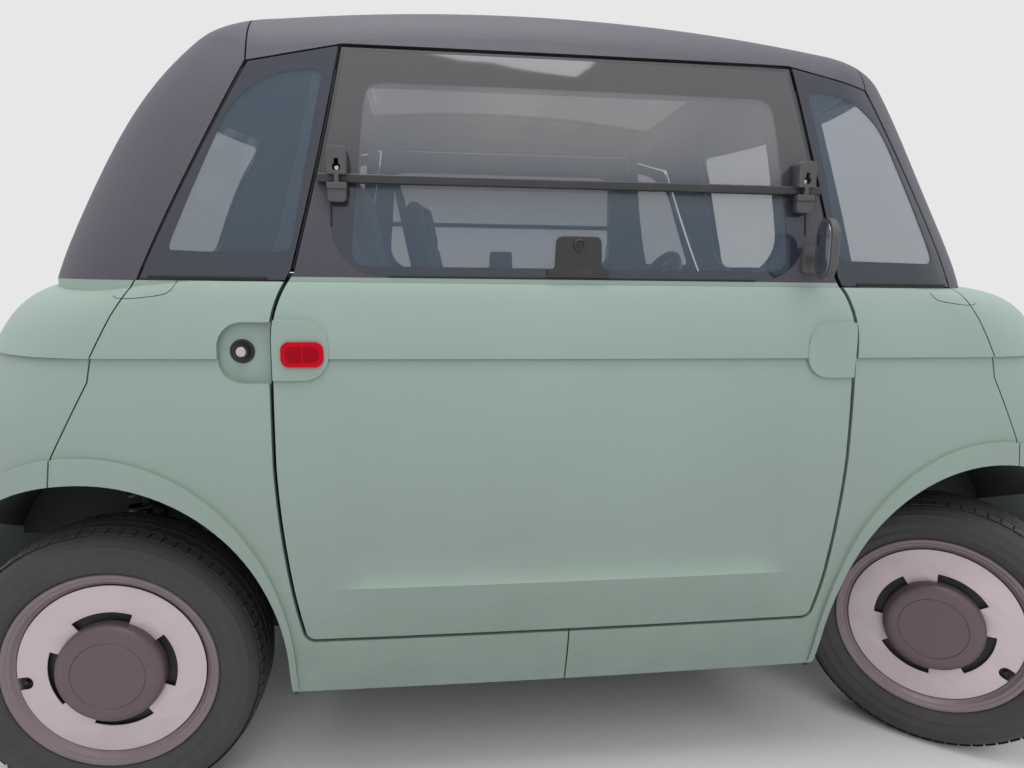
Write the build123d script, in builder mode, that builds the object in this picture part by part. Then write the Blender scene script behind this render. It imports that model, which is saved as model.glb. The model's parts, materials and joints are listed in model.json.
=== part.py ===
"""A two-seat microcar with a moulded body on a tube and box frame.

Millimetres throughout: x runs forward, y to the left, z up, and the ground is z = 0.
The lower body is the same at both ends, and each right-hand side piece turned half
round about z is the matching left-hand one, so the right door hangs at its front edge
and the left door at its rear edge. The front wheels stand turned to the right.
"""

from build123d import *
from collections import namedtuple
from functools import cache
from math import cos, radians, sin, sqrt
import os

os.makedirs("parts", exist_ok=True)

# Overall sizes
LENGTH = 2535
BODY_WIDTH = 1400
HEIGHT = 1530
WHEELBASE = 1728
BELT_Z = 1012
SILL_Z = 230

# Skin thicknesses and the gaps between panels
PANEL = 14
DOOR = 45
PANE = 5
SEAM = 3
DOOR_GAP = 7
SEAT = 0.3
OVERLAY = 8

# Bow of the plan outline: sides and ends are arcs of these radii
SIDE_RADIUS = 24000
END_RADIUS = 1800
CABIN_END_RADIUS = 1500

# Lower body: drop is how far a row sinks per millimetre that the surface is drawn in
BodyRow = namedtuple("BodyRow", "z tuck setback corner drop")
SKIRT = [
    BodyRow(SILL_Z, 50, 92, 270, 1),
    BodyRow(358, 16, 68, 285, 0),
    BodyRow(458, 4, 57, 290, 0),
]
FLANK = [
    BodyRow(458, 4, 57, 290, 0),
    BodyRow(600, 1, 57, 290, 0),
    BodyRow(740, 0, 72, 295, 0),
    BodyRow(882, 7, 120, 300, 0),
]
SHOULDER = [
    BodyRow(882, 0, 113, 300, 0),
    BodyRow(930, 4, 142, 300, 0.5),
    BodyRow(976, 13, 186, 300, 1),
    BodyRow(1000, 21, 237, 300, 1),
    BodyRow(BELT_Z, 28, 297, 290, 1),
]
LEDGE_Z = 882
CREASE_Z = 458

# Cabin: how far it reaches ahead of and behind the middle of the car at each height
CabinRow = namedtuple("CabinRow", "z tuck front rear corner")
CABIN = [
    CabinRow(BELT_Z, 30, 947, 1040, 200),
    CabinRow(1160, 43, 872, 972, 200),
    CabinRow(1290, 72, 806, 900, 195),
    CabinRow(1400, 106, 749, 816, 185),
    CabinRow(1480, 140, 700, 728, 170),
    CabinRow(1570, 190, 650, 610, 150),
]
CABIN_FOOT = 150
ROOF_LENGTH_RADIUS = 3800
ROOF_WIDTH_RADIUS = 7500
ROOF_CROWN_X = -70
ROOF_EDGE_RADIUS = 110

# Door outline, the same ahead of and behind the middle
DOOR_TOP_Z = 1418
DOOR_BOTTOM_Z = 356
DOOR_TOP_HALF = 414
DOOR_WAIST_HALF = 494
DOOR_WAIST_Z = 1029
DOOR_HALF = 531
DOOR_SHOULDER_Z = 905
DOOR_HAUNCH_Z = 690
DOOR_FOOT_HALF = 490
DOOR_FOOT_BOW = 519
DOOR_FOOT_BOW_Z = 530
DOOR_SHOULDER_BOW = 519
DOOR_SHOULDER_BOW_Z = 979
DOOR_TOP_BOW = 453
DOOR_TOP_BOW_Z = 1199
DOOR_CORNER = 18

# Wheel arches
ARCH_HALF = 335
ARCH_RISE = 357
ARCH_CENTRE_Z = 308
ARCH_LIP = 46
ARCH_LIP_FOOT = 12
ARCH_LIP_PROUD = 7
LINER = 6
LINER_INNER_Y = 300
LINER_WALL_Z = 440
LINER_SLOT_GAP = 12

# Lines where fender and end panel, roof and pillar pieces meet
FENDER_SEAM = [(912, 655), (905, 712), (836, 841), (830, 878), (792, 953), (757, BELT_Z)]
ROOF_SEAM_HALF = 575
ROOF_SEAM_Z = 1388
PILLAR_FOOT_HALF = 752

# Side window: clear opening through the door, and the flap in its lower half
WINDOW_TOP_Z = 1357
WINDOW_TOP_HALF = 373
WINDOW_BOTTOM_Z = 1032
WINDOW_BOTTOM_HALF = 400
WINDOW_CORNER = 50
WINDOW_FOOT_CORNER = 75
BAR_Z = 1187
BAR_HEIGHT = 15
BAR_HALF = 452
FLAP_HALF = 430
FLAP_BOTTOM_Z = 1023
FLAP_CORNER = 85
HINGE_BLOCK_X = 418
HINGE_BLOCK_WIDTH = 33
HINGE_BLOCK_HEIGHT = 92
HINGE_BLOCK_RISE = 5
HINGE_BLOCK_PROUD = 24
BAR_TUCK = 46
BAR_PROUD = 13
LATCH_WIDTH = 84
LATCH_TOP_Z = 1097
LATCH_BOTTOM_Z = 1028
LATCH_TUCK = 31
LATCH_PROUD = 8
LATCH_KNOB_DROP = 20
LATCH_KNOB_RADIUS = 13
LATCH_KNOB_REACH = 20

# Lock recess on the rear side panel, and the door pad beside it
RECESS_X = 524
RECESS_LENGTH = 98
RECESS_BOTTOM_Z = 838
RECESS_TOP_Z = 944
LOCK_X = 584
LOCK_Z = 893
LOCK_RADIUS = 21
LOCK_REACH = 14
RECESS_FLOOR_Y = 672
RECESS_CORNER = 42
PAD_LENGTH = 94
PAD_BOTTOM_Z = 845
PAD_TOP_Z = 948
PAD_CORNER = 42
PAD_FACE_Y = 697.5
REFLECTOR_X = 480
REFLECTOR_Z = 890
REFLECTOR_LENGTH = 71
REFLECTOR_HEIGHT = 43
REFLECTOR_THICKNESS = 5

# Door hinges
HINGE_X = 472
HINGE_Y = 679
Hinge = namedtuple("Hinge", "z post_x")
HINGES = [Hinge(480, 541), Hinge(800, 560)]
HINGE_PIN_RADIUS = 7
HINGE_PIN_FIT = 0.08
HINGE_BARREL_RADIUS = 12
HINGE_BARREL_GAP = 1.5
HINGE_ARM_HEIGHT = 30
HINGE_ARM_WIDTH = 12
HINGE_POCKET_GAP = 5
HINGE_ARM_INNER_Y = 609
HINGE_POST_DEPTH = 67

# Inner frame round the door, and the floor
FRAME_INNER = 54
FRAME_START = 14
FRAME_END = 42
ROOF_BOW_WIDTH = 34
ROOF_RAIL_Y = 490
FLOOR_Z = 290
FLOOR = 12
BULKHEAD_X = 545
SHELF_Z = 674
SHELF_REACH = 1015
TUB_HALF = 600

# Wheels
TYRE_RADIUS = 278.5
TYRE_WIDTH = 155
SidewallRow = namedtuple("SidewallRow", "rise tuck")
SIDEWALL = [SidewallRow(0, 16), SidewallRow(16, 4), SidewallRow(38, 0), SidewallRow(60, 5)]
TREAD_FALL = 7
TREAD_FALL_WIDTH = 20
TREAD_EDGE = 36
RIM_RADIUS = 195
RIM_WIDTH = 126
RIM_THICKNESS = 6
RIM_WELL_RADIUS = 160
RIM_WELL_FRONT = 42
RIM_WELL_BACK = 76
RIM_FACE_Y = 625.5
TYRE_CENTRE_Y = 562
DISC_THICKNESS = 8
DISC_DEPTH = 12
DISC_RADIUS = 170
CAP_RADIUS = 99
CAP_REACH = 15
CAP_ROUND = 22
DISC_CROWN = 4
SLOT_INNER = 99
SLOT_OUTER = 116
SLOT_COUNT = 4
SLOT_ANGLE = 58
NOTCH_RADIUS = 13
NOTCH_X = 157
RIM_LIP = 9
RIM_BEAD = 18
RIM_FLANGE = 5
SLOPE = 24
HUB_RADIUS = 60
HUB_FACE_Y = 560
SPIGOT_RADIUS = 28
SPIGOT_LENGTH = 18
SPIGOT_FIT = 0.5
RUNNING_GAP = 0.4

# Steering and front suspension
STEER_ANGLE = 38.5
KINGPIN_Y = 565.5
BALL_RISE = 113
BALL_RADIUS = 17
ARM_THICKNESS = 16
ARM_PIVOT_Y = 262
STEER_ARM = 84
STEER_ARM_RISE = 12
STEER_ARM_THICKNESS = 12
STEER_ARM_ROOT = 28
STEER_ARM_ROOT_WIDTH = 22
STEER_EYE = 12
KNUCKLE_PLATE = 34
KNUCKLE_PLATE_RADIUS = 52
KNUCKLE_WIDTH = 36
KNUCKLE_POST = 20
KNUCKLE_POST_INNER = 32
BALL_SEAT_LENGTH = 84
BALL_SEAT_SHIFT = 22
BALL_SEAT = 14
ARM_TIP_HALF = 12
ARM_KNEE_HALF = 26
ARM_KNEE_Y = 455
ARM_CROTCH_Y = 425
ARM_FOOT_OUTER = 95
ARM_FOOT_INNER = 62
ARM_PIVOT_LENGTH = 34
ARM_PIVOT_BAR = 16
SPRING_CROSS = 80
RACK_RADIUS = 8
RACK_EYE = 20
RACK_HOUSING_RADIUS = 24
RACK_HOUSING_HALF = 170
RACK_FIT = 0.4
SPRING_Y = 360
SPRING_RADIUS = 40
DAMPER_RADIUS = 15
SPRING_TOP_Z = 596
SPRING_FOOT = 60

# Chassis
RAIL_Y = 240
RAIL_WIDTH = 60
RAIL_HEIGHT = 60
RAIL_REACH = 1120
BEAM_HALF = 290
BEAM_Z = 345
BEAM_HEIGHT = 90
BEAM_DEPTH = 30
OUTRIGGER_HEIGHT = 40
TOWER_HALF = 45
TOWER_LENGTH = 70
TOWER_DEPTH = 36
TOWER_Y = 250
SHELF_MARGIN = 10

# Heavy units
MOTOR_LENGTH = 240
MOTOR_WIDTH = 400
MOTOR_HEIGHT = 260
MOTOR_SHIFT = 90
MOTOR_FOOT = 24
MOTOR_FOOT_WIDTH = 140
BATTERY_LENGTH = 370
BATTERY_WIDTH = 340
BATTERY_HEIGHT = 185

# Rear suspension
TRAIL_PIVOT_X = -575
TRAIL_Y = 400
TRAIL_WIDTH = 44
TRAIL_HEIGHT = 56
TRAIL_TAIL = 20
STUB_RADIUS = 34
BRAKE_PLATE_RADIUS = 90
BRAKE_PLATE_BORE = 30
BRAKE_PLATE = 26
BRAKE_PLATE_GAP = 8
PIVOT_LENGTH = 34
PIVOT_HEIGHT = 40
PIVOT_DROP = 5
TWIST_BEAM_X = -690
TWIST_BEAM_DROP = 75
TWIST_BEAM_RADIUS = 26
TWIST_BRACKET_LENGTH = 60
TWIST_BRACKET_HEIGHT = 80
SPRING_LINES = {1: SPRING_Y, -1: TRAIL_Y}

# Bumper, lamps and wiper
BUMPER_BOTTOM_Z = 330
BUMPER_TOP_Z = 500
BUMPER_HALF = 600
BUMPER_CORNER = 330
BUMPER_ROUND = 30
LAMP_Y = 455
LAMP_Z = 742
LAMP_WIDTH = 200
LAMP_HEIGHT = 168
LAMP_BACK_X = 1080
LAMP_FACE_X = 1192
LAMP_RIM = 30
TAIL_LAMP_WIDTH = 190
TAIL_LAMP_HEIGHT = 150

# Glass in the cabin ends and roof
SCREEN_BOTTOM_Z = 1034
SCREEN_TOP_Z = 1430
SCREEN_BOTTOM_HALF = 590
SCREEN_TOP_HALF = 470
REAR_BOTTOM_Z = 1060
REAR_TOP_Z = 1405
REAR_BOTTOM_HALF = 470
REAR_TOP_HALF = 400
GLASS_BORDER = 28
SCREEN_BORDER = 20
GLASS_EDGE = 5
GLASS_CORNER = 60
ROOF_GLASS_FRONT = 470
ROOF_GLASS_REAR = 430
ROOF_GLASS_HALF = 420
ROOF_FALL = 60
WIPER_X = 956
WIPER_Y = -60
WIPER_Z = 1040
WIPER_HEIGHT = 13
WIPER_LENGTH = 520

# Mirrors
MIRROR_X = 430
MIRROR_Y = 741
MIRROR_Z = 1080
MIRROR_TURN = 10
MIRROR_WIDTH = 76
MIRROR_HEIGHT = 106
MIRROR_CORNER = 34
MIRROR_DEPTH = 16
MIRROR_ROUND = 9
MIRROR_ARM = 12
MIRROR_ARM_X = 434
MIRROR_FOOT_X = 438
MIRROR_FOOT_Y = 676
MIRROR_FOOT_Z = 1063
MIRROR_FOOT_LENGTH = 32
MIRROR_FOOT_HEIGHT = 50

# Cabin fittings
SEAT_WIDTH = 430
SEAT_PAN_Z = 520
SEAT_PAN_LENGTH = 430
SEAT_BACK_HEIGHT = 740
SEAT_SHELL = 18
CUSHION = 60
SEAT_RAKE = 150
SEAT_RISE = 24
SEAT_LEG = 24
SEAT_LEG_LENGTH = 340
CUSHION_MARGIN = 20
DRIVER_SEAT_X = -190
PASSENGER_SEAT_X = -330
SEAT_Y = 275
DASH_HALF = 560
DASH_FRONT_X = 840
DASH_REAR_X = 600
DASH_TOP_Z = 985
DASH_BOTTOM_Z = 700
DASH_BROW = 50
STEERING_WHEEL_RADIUS = 170
STEERING_WHEEL_GRIP = 14
STEERING_WHEEL_X = 425
STEERING_WHEEL_Z = 935
STEERING_WHEEL_TILT = 28
STEERING_HUB_RADIUS = 42
STEERING_BOSS_RADIUS = 30
STEERING_BOSS = 30
SPOKE_WIDTH = 26
SPOKE = 14
COLUMN_RADIUS = 20
COLUMN_LENGTH = 220
PEDAL_WIDTH = 56
PEDAL_HEIGHT = 84
PEDAL = 14
PEDAL_X = 480
PEDAL_Z = 420
PEDAL_OFFSETS = [-80, -12]

# Far enough to pass through the whole car
THROUGH = 1000
HIGH = 2000

half_length = LENGTH / 2
half_width = BODY_WIDTH / 2
axle_x = WHEELBASE / 2


def bow(radius, half_chord):
    """How far an arc of this radius falls back at half_chord from its crown."""
    return radius - sqrt(radius**2 - half_chord**2)


def plan_section(z, width, front, rear, corner, end_radius):
    """A level section of the body: four bowed edges with rounded corners."""
    fall = bow(end_radius, width)
    front_x, rear_x = front - fall, fall - rear
    front_y = width - bow(SIDE_RADIUS, front_x)
    rear_y = width - bow(SIDE_RADIUS, rear_x)
    with BuildSketch(Plane.XY.offset(z), mode=Mode.PRIVATE) as section:
        with BuildLine():
            ThreePointArc((rear_x, -rear_y), (0, -width), (front_x, -front_y))
            ThreePointArc((front_x, -front_y), (front, 0), (front_x, front_y))
            ThreePointArc((front_x, front_y), (0, width), (rear_x, rear_y))
            ThreePointArc((rear_x, rear_y), (-rear, 0), (rear_x, -rear_y))
        make_face()
        fillet(section.vertices(), corner)
    return section.sketch


def body_section(row, inset):
    reach = half_length - row.setback - inset
    return plan_section(row.z - row.drop * inset, half_width - row.tuck - inset,
                        reach, reach, row.corner - inset, END_RADIUS)


def cabin_section(row, inset):
    return plan_section(row.z, half_width - row.tuck - inset, row.front - inset,
                        row.rear - inset, row.corner - inset, CABIN_END_RADIUS)


@cache
def roof_limit(inset):
    """Everything under the roof skin, which bows along and across the car."""
    crown = ROOF_LENGTH_RADIUS - inset
    centre_z = HEIGHT - ROOF_LENGTH_RADIUS
    edge = centre_z + crown - bow(ROOF_WIDTH_RADIUS, THROUGH)
    with BuildPart() as under_roof:
        with BuildSketch(Plane.YZ.offset(ROOF_CROWN_X)) as profile:
            with BuildLine():
                ThreePointArc((-THROUGH, edge), (0, centre_z + crown), (THROUGH, edge))
                Polyline((THROUGH, edge), (THROUGH, 0), (-THROUGH, 0), (-THROUGH, edge))
            make_face()
        hinge = Axis((ROOF_CROWN_X, 0, centre_z), (0, 1, 0))
        revolve(profile.sketch, axis=hinge, revolution_arc=25)
        revolve(profile.sketch, axis=hinge.reverse(), revolution_arc=25)
    return under_roof.part


@cache
def whole_body(inset):
    """The closed body shape, with every face drawn in by inset."""
    lower = [[body_section(row, inset) for row in rows] for rows in (SKIRT, FLANK, SHOULDER)]
    upper = [cabin_section(row, inset) for row in CABIN]
    with BuildPart() as cabin:
        loft(sections=upper)
        add(roof_limit(inset), mode=Mode.INTERSECT)
        rim = cabin.edges().filter_by(lambda edge: edge.bounding_box().min.Z > DOOR_TOP_Z - 30)
        fillet(rim, ROOF_EDGE_RADIUS - inset)
        extrude(upper[0], amount=-CABIN_FOOT)
    with BuildPart() as body:
        for sections in lower:
            loft(sections=sections)
        add(cabin.part)
    return body.part


def skin(prism, outer, inner):
    """What lies inside a prism between two depths under the body surface."""
    with BuildPart() as piece:
        add(prism)
        add(whole_body(outer), mode=Mode.INTERSECT)
        add(whole_body(inner), mode=Mode.SUBTRACT)
    return piece.part


def outside(prism, depth):
    """What lies inside a prism and less than this depth under the surface, or beyond it."""
    with BuildPart() as piece:
        add(prism)
        add(whole_body(depth), mode=Mode.SUBTRACT)
    return piece.part


def side_prism(outline, start=0, reach=THROUGH):
    """A side-view outline carried out to the right, from start to reach beside the middle."""
    with BuildPart() as prism:
        extrude(Plane.XZ.offset(start) * outline, amount=reach - start)
    return prism.part


def across(outline):
    """A side-view outline carried right across the car."""
    with BuildPart() as prism:
        extrude(Plane.XZ * outline, amount=THROUGH, both=True)
    return prism.part


def polygon(*points):
    with BuildSketch(mode=Mode.PRIVATE) as shape:
        with BuildLine():
            Polyline(*points, close=True)
        make_face()
    return shape.sketch


def rounded_box(x, z, length, height, radius):
    with BuildSketch(mode=Mode.PRIVATE) as shape:
        with Locations((x, z)):
            RectangleRounded(length, height, radius)
    return shape.sketch


@cache
def door_outline(grow):
    """The door in side view, grown all round."""
    with BuildSketch(mode=Mode.PRIVATE) as shape:
        with BuildLine():
            for side in (1, -1):
                Line((0, DOOR_BOTTOM_Z), (side * DOOR_FOOT_HALF, DOOR_BOTTOM_Z))
                ThreePointArc((side * DOOR_FOOT_HALF, DOOR_BOTTOM_Z),
                              (side * DOOR_FOOT_BOW, DOOR_FOOT_BOW_Z),
                              (side * DOOR_HALF, DOOR_HAUNCH_Z))
                Line((side * DOOR_HALF, DOOR_HAUNCH_Z), (side * DOOR_HALF, DOOR_SHOULDER_Z))
                ThreePointArc((side * DOOR_HALF, DOOR_SHOULDER_Z),
                              (side * DOOR_SHOULDER_BOW, DOOR_SHOULDER_BOW_Z),
                              (side * DOOR_WAIST_HALF, DOOR_WAIST_Z))
                ThreePointArc((side * DOOR_WAIST_HALF, DOOR_WAIST_Z),
                              (side * DOOR_TOP_BOW, DOOR_TOP_BOW_Z),
                              (side * DOOR_TOP_HALF, DOOR_TOP_Z))
                Line((side * DOOR_TOP_HALF, DOOR_TOP_Z), (0, DOOR_TOP_Z))
        make_face()
        foot = [corner for corner in shape.vertices()
                if abs(corner.X) > DOOR_CORNER and corner.Y < DOOR_BOTTOM_Z + SEAT]
        fillet(foot, DOOR_CORNER)
        if grow:
            offset(amount=grow)
    return shape.sketch


@cache
def arch_outline(end, grow, grow_foot=None):
    """A wheel arch in side view: half an ellipse over straight legs."""
    rise = ARCH_RISE + grow
    half = ARCH_HALF + (grow if grow_foot is None else grow_foot)
    with BuildSketch(mode=Mode.PRIVATE) as shape:
        with Locations((end * axle_x, ARCH_CENTRE_Z)):
            Ellipse(half, rise)
            Rectangle(2 * half, 2 * rise, align=(Align.CENTER, Align.MAX))
    return shape.sketch


def turned(part):
    """The same piece on the other side of the car, turned half round about z."""
    return part.rotate(Axis.Z, 180)


def write(part, name):
    part.label = name
    export_step(part, f"parts/{name}.step")


def both_sides(part, name):
    """Write the right-hand piece, and the left-hand one turned half round from it."""
    write(turned(part), f"{name}_left")
    write(part, f"{name}_right")


def window_outline(grow):
    """The clear side window: wider and rounder at its foot."""
    with BuildSketch(mode=Mode.PRIVATE) as shape:
        with BuildLine():
            Polyline((-WINDOW_BOTTOM_HALF, WINDOW_BOTTOM_Z), (WINDOW_BOTTOM_HALF, WINDOW_BOTTOM_Z),
                     (WINDOW_TOP_HALF, WINDOW_TOP_Z), (-WINDOW_TOP_HALF, WINDOW_TOP_Z), close=True)
        make_face()
        foot, top = shape.vertices().group_by(Axis.Y)
        fillet(foot, WINDOW_FOOT_CORNER)
        fillet(top, WINDOW_CORNER)
        if grow:
            offset(amount=grow)
    return shape.sketch


def flap_outline(grow):
    """The glass flap under the bar, with wide lower corners."""
    with BuildSketch(mode=Mode.PRIVATE) as shape:
        with BuildLine():
            Polyline((-FLAP_HALF - grow, BAR_Z - 1 + grow), (FLAP_HALF + grow, BAR_Z - 1 + grow),
                     (FLAP_HALF + grow, FLAP_BOTTOM_Z - grow),
                     (-FLAP_HALF - grow, FLAP_BOTTOM_Z - grow), close=True)
        make_face()
        fillet(shape.vertices().group_by(Axis.Y)[0], FLAP_CORNER + grow)
    return shape.sketch


def upper_pane_outline(grow):
    """The fixed glass above the bar, set in from the edge of the door."""
    with BuildSketch(mode=Mode.PRIVATE) as shape:
        add(door_outline(grow - GLASS_EDGE))
        with Locations((0, BAR_Z + 1 - grow)):
            Rectangle(2 * THROUGH, THROUGH, align=(Align.CENTER, Align.MIN), mode=Mode.INTERSECT)
    return shape.sketch


hinge_axis = (HINGE_X, -HINGE_Y)

# Door: one wall as thick as the whole door, with its window, panes and hinge pins
with BuildPart() as door:
    add(skin(side_prism(door_outline(0)), 0, DOOR))
    for side in (1, -1):
        pad = rounded_box(side * DOOR_HALF, (PAD_BOTTOM_Z + PAD_TOP_Z) / 2, 2 * PAD_LENGTH,
                          PAD_TOP_Z - PAD_BOTTOM_Z, PAD_CORNER)
        add(side_prism(pad & door_outline(0), PAD_FACE_Y - 2 * PANEL, PAD_FACE_Y))
    add(side_prism(window_outline(0)), mode=Mode.SUBTRACT)
    for outline in (flap_outline(SEAT), upper_pane_outline(SEAT)):
        add(outside(side_prism(outline, half_width / 2), PANE + SEAT), mode=Mode.SUBTRACT)
    pocket = HINGE_ARM_HEIGHT + 2 * HINGE_POCKET_GAP
    reach = HINGE_BARREL_RADIUS + HINGE_BARREL_GAP
    for hinge in HINGES:
        floor = Plane.XY.offset(hinge.z - pocket / 2)
        with BuildSketch(floor):
            with Locations(hinge_axis):
                Circle(reach)
                Rectangle(THROUGH, reach, align=(Align.MIN, Align.MAX))
            with Locations((HINGE_X - reach, -HINGE_Y)):
                Rectangle(THROUGH, half_width / 2, align=(Align.MIN, Align.MIN))
        extrude(amount=pocket, mode=Mode.SUBTRACT)
        with BuildSketch(floor):
            with Locations(hinge_axis):
                Circle(HINGE_PIN_RADIUS)
        extrude(amount=pocket)
both_sides(door.part, "door")

# Fixed upper pane and flap of each door
with BuildPart() as door_glass:
    for outline in (flap_outline(0), upper_pane_outline(0)):
        add(skin(side_prism(outline), 0, PANE))
both_sides(door_glass.part, "door_glass")

# Bar between the panes, with its hinge blocks, and the latch plate with its knob
with BuildPart() as window_bar:
    bar_y = half_width - BAR_TUCK
    bar = rounded_box(0, BAR_Z, 2 * BAR_HALF, BAR_HEIGHT, BAR_HEIGHT / 3)
    add(outside(side_prism(bar, half_width / 2, bar_y + BAR_PROUD), -SEAT))
    for side in (1, -1):
        block = rounded_box(side * HINGE_BLOCK_X, BAR_Z + HINGE_BLOCK_RISE, HINGE_BLOCK_WIDTH,
                            HINGE_BLOCK_HEIGHT, HINGE_BLOCK_WIDTH / 3)
        add(outside(side_prism(block, half_width / 2, bar_y + HINGE_BLOCK_PROUD), -SEAT))
    plate_height = LATCH_TOP_Z - LATCH_BOTTOM_Z
    plate = rounded_box(0, LATCH_TOP_Z - plate_height / 2, LATCH_WIDTH, plate_height, 10)
    plate_y = half_width - LATCH_TUCK
    add(outside(side_prism(plate, half_width / 2, plate_y + LATCH_PROUD), -SEAT))
    with BuildSketch(Plane.XZ.offset(plate_y + 2)):
        with Locations((0, LATCH_TOP_Z - LATCH_KNOB_DROP)):
            Circle(LATCH_KNOB_RADIUS)
    extrude(amount=LATCH_KNOB_REACH)
both_sides(window_bar.part, "window_bar")

# Lower side panels: from the door gap to the end panel, with half the sill each
def fender_region(end, inset):
    """Side view of a side panel at one end, before door and arch are cut."""
    points = [(end * SEAM / 2, SILL_Z - OVERLAY), (end * FENDER_SEAM[0][0], SILL_Z - OVERLAY)]
    points += [(end * (x - inset), z) for x, z in FENDER_SEAM]
    points += [(end * SEAM / 2, BELT_Z)]
    return polygon(*points)


def lock_recess(grow):
    """Outline of the recess, open towards the door."""
    return rounded_box(-RECESS_X - (RECESS_LENGTH - RECESS_CORNER) / 2,
                       (RECESS_BOTTOM_Z + RECESS_TOP_Z) / 2,
                       RECESS_LENGTH + RECESS_CORNER + 2 * grow,
                       RECESS_TOP_Z - RECESS_BOTTOM_Z + 2 * grow, RECESS_CORNER + grow)


for end, name, opposite in ((1, "front", "rear"), (-1, "rear", "front")):
    cut_out = door_outline(DOOR_GAP) + arch_outline(end, 0)
    region = fender_region(end, SEAM / 2) - cut_out
    lip = (arch_outline(end, ARCH_LIP, ARCH_LIP_FOOT) & region) - arch_outline(end, 0)
    with BuildPart() as fender:
        add(skin(side_prism(region), 0, PANEL))
        add(skin(side_prism(lip), -ARCH_LIP_PROUD, PANEL))
        if end < 0:
            wall = (lock_recess(PANEL / 2) & region) - door_outline(DOOR_GAP)
            add(side_prism(wall, RECESS_FLOOR_Y - PANEL / 2, PAD_FACE_Y - 2 * OVERLAY))
            add(side_prism(lock_recess(0), RECESS_FLOOR_Y), mode=Mode.SUBTRACT)
    write(turned(fender.part), f"fender_{opposite}_left")
    write(fender.part, f"fender_{name}_right")

# Push buttons of the door locks, one in each recess
with BuildPart() as lock_buttons:
    with BuildSketch(Plane.XZ.offset(RECESS_FLOOR_Y)):
        with Locations((-LOCK_X, LOCK_Z)):
            Circle(LOCK_RADIUS)
    extrude(amount=LOCK_REACH)
    add(turned(lock_buttons.part))
write(lock_buttons.part, "lock_buttons")

# Nose and tail: end panels with hood, arch end, bumper and lamp openings
def lamp_outline(grow, width, height):
    with BuildSketch(mode=Mode.PRIVATE) as shape:
        for side in (1, -1):
            with Locations((side * LAMP_Y, LAMP_Z)):
                Ellipse(width / 2 + grow, height / 2 + grow)
    return shape.sketch


def end_prism(outline, end, start=0, reach=HIGH):
    """An outline in front view carried along the car towards one end."""
    with BuildPart() as prism:
        plane = Plane.YZ if end > 0 else Plane.YZ.rotated((0, 0, 180))
        extrude(plane.offset(start) * outline, amount=reach - start)
    return prism.part


def bumper_bar(end):
    """The bumper's bowed bar with round edges, ahead of the axle at one end."""
    bumper = plan_section(BUMPER_BOTTOM_Z, BUMPER_HALF, half_length, half_length,
                          BUMPER_CORNER, END_RADIUS)
    with BuildPart() as bar:
        extrude(bumper, amount=BUMPER_TOP_Z - BUMPER_BOTTOM_Z)
        rims = bar.edges().group_by(Axis.Z)
        fillet(rims[0] + rims[-1], BUMPER_ROUND)
        add(across(polygon((end * axle_x, 0), (end * HIGH, 0), (end * HIGH, HIGH),
                           (end * axle_x, HIGH))), mode=Mode.INTERSECT)
    return bar.part


lamps = {1: ("headlamps", LAMP_WIDTH, LAMP_HEIGHT),
         -1: ("tail_lamps", TAIL_LAMP_WIDTH, TAIL_LAMP_HEIGHT)}
for end, name in ((1, "nose_panel"), (-1, "tail_panel")):
    lamp_name, lamp_width, lamp_height = lamps[end]
    points = [(end * half_length * 2, BELT_Z), (end * half_length * 2, SILL_Z - OVERLAY),
              (end * FENDER_SEAM[0][0], SILL_Z - OVERLAY)]
    points += [(end * (x + SEAM / 2), z) for x, z in FENDER_SEAM]
    region = polygon(*points)
    arch = arch_outline(end, 0)
    lip = (arch_outline(end, ARCH_LIP, ARCH_LIP_FOOT) & region) - arch
    with BuildPart() as panel:
        add(skin(across(region), 0, PANEL))
        add(skin(across(lip), -ARCH_LIP_PROUD, PANEL))
        add(outside(bumper_bar(end), PANEL))
        add(across(arch), mode=Mode.SUBTRACT)
        opening = lamp_outline(0, lamp_width, lamp_height)
        add(end_prism(opening, end, axle_x), mode=Mode.SUBTRACT)
    write(panel.part, name)
    with BuildPart() as lamp:
        body = lamp_outline(-SEAT, lamp_width, lamp_height)
        add(end_prism(body, end, LAMP_BACK_X, LAMP_FACE_X))
        face = lamp.edges().group_by(Axis.X)[-1 if end > 0 else 0]
        fillet(face, LAMP_RIM)
    write(lamp.part, lamp_name)

# Flat oblong reflector on the pad at the free edge of each door
with BuildPart() as reflector:
    outline = rounded_box(-REFLECTOR_X, REFLECTOR_Z, REFLECTOR_LENGTH, REFLECTOR_HEIGHT,
                          REFLECTOR_HEIGHT / 3)
    face = PAD_FACE_Y + SEAT
    add(side_prism(outline, face, face + REFLECTOR_THICKNESS))
both_sides(reflector.part, "door_reflector")

# Roof shell between its seams, the pieces round the end windows, and the fixed glass
def roof_region(inset):
    """Side view above the doors and side glass."""
    seam = ROOF_SEAM_HALF - inset
    top = DOOR_TOP_Z + DOOR_GAP
    return polygon((-seam, ROOF_SEAM_Z + inset), (-DOOR_TOP_HALF, top), (DOOR_TOP_HALF, top),
                   (seam, ROOF_SEAM_Z + inset), (seam, HIGH), (-seam, HIGH))


def end_region(end, inset):
    """Side view beyond the side glass, down to the belt."""
    seam, foot = ROOF_SEAM_HALF + inset, PILLAR_FOOT_HALF + inset
    floor = BELT_Z + SEAT
    return polygon((end * seam, HIGH), (end * seam, ROOF_SEAM_Z), (end * foot, floor),
                   (end * HIGH, floor), (end * HIGH, HIGH))


def quarter_region(end, inset):
    """Side view of a quarter glass, between door, roof and end piece."""
    top = DOOR_TOP_Z + DOOR_GAP
    return polygon((end * (DOOR_TOP_HALF - inset), top - inset),
                   (end * (ROOF_SEAM_HALF - inset), ROOF_SEAM_Z - inset),
                   (end * (PILLAR_FOOT_HALF - inset), BELT_Z + inset),
                   (end * DOOR_TOP_HALF, BELT_Z + inset)) - door_outline(DOOR_GAP)


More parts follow.
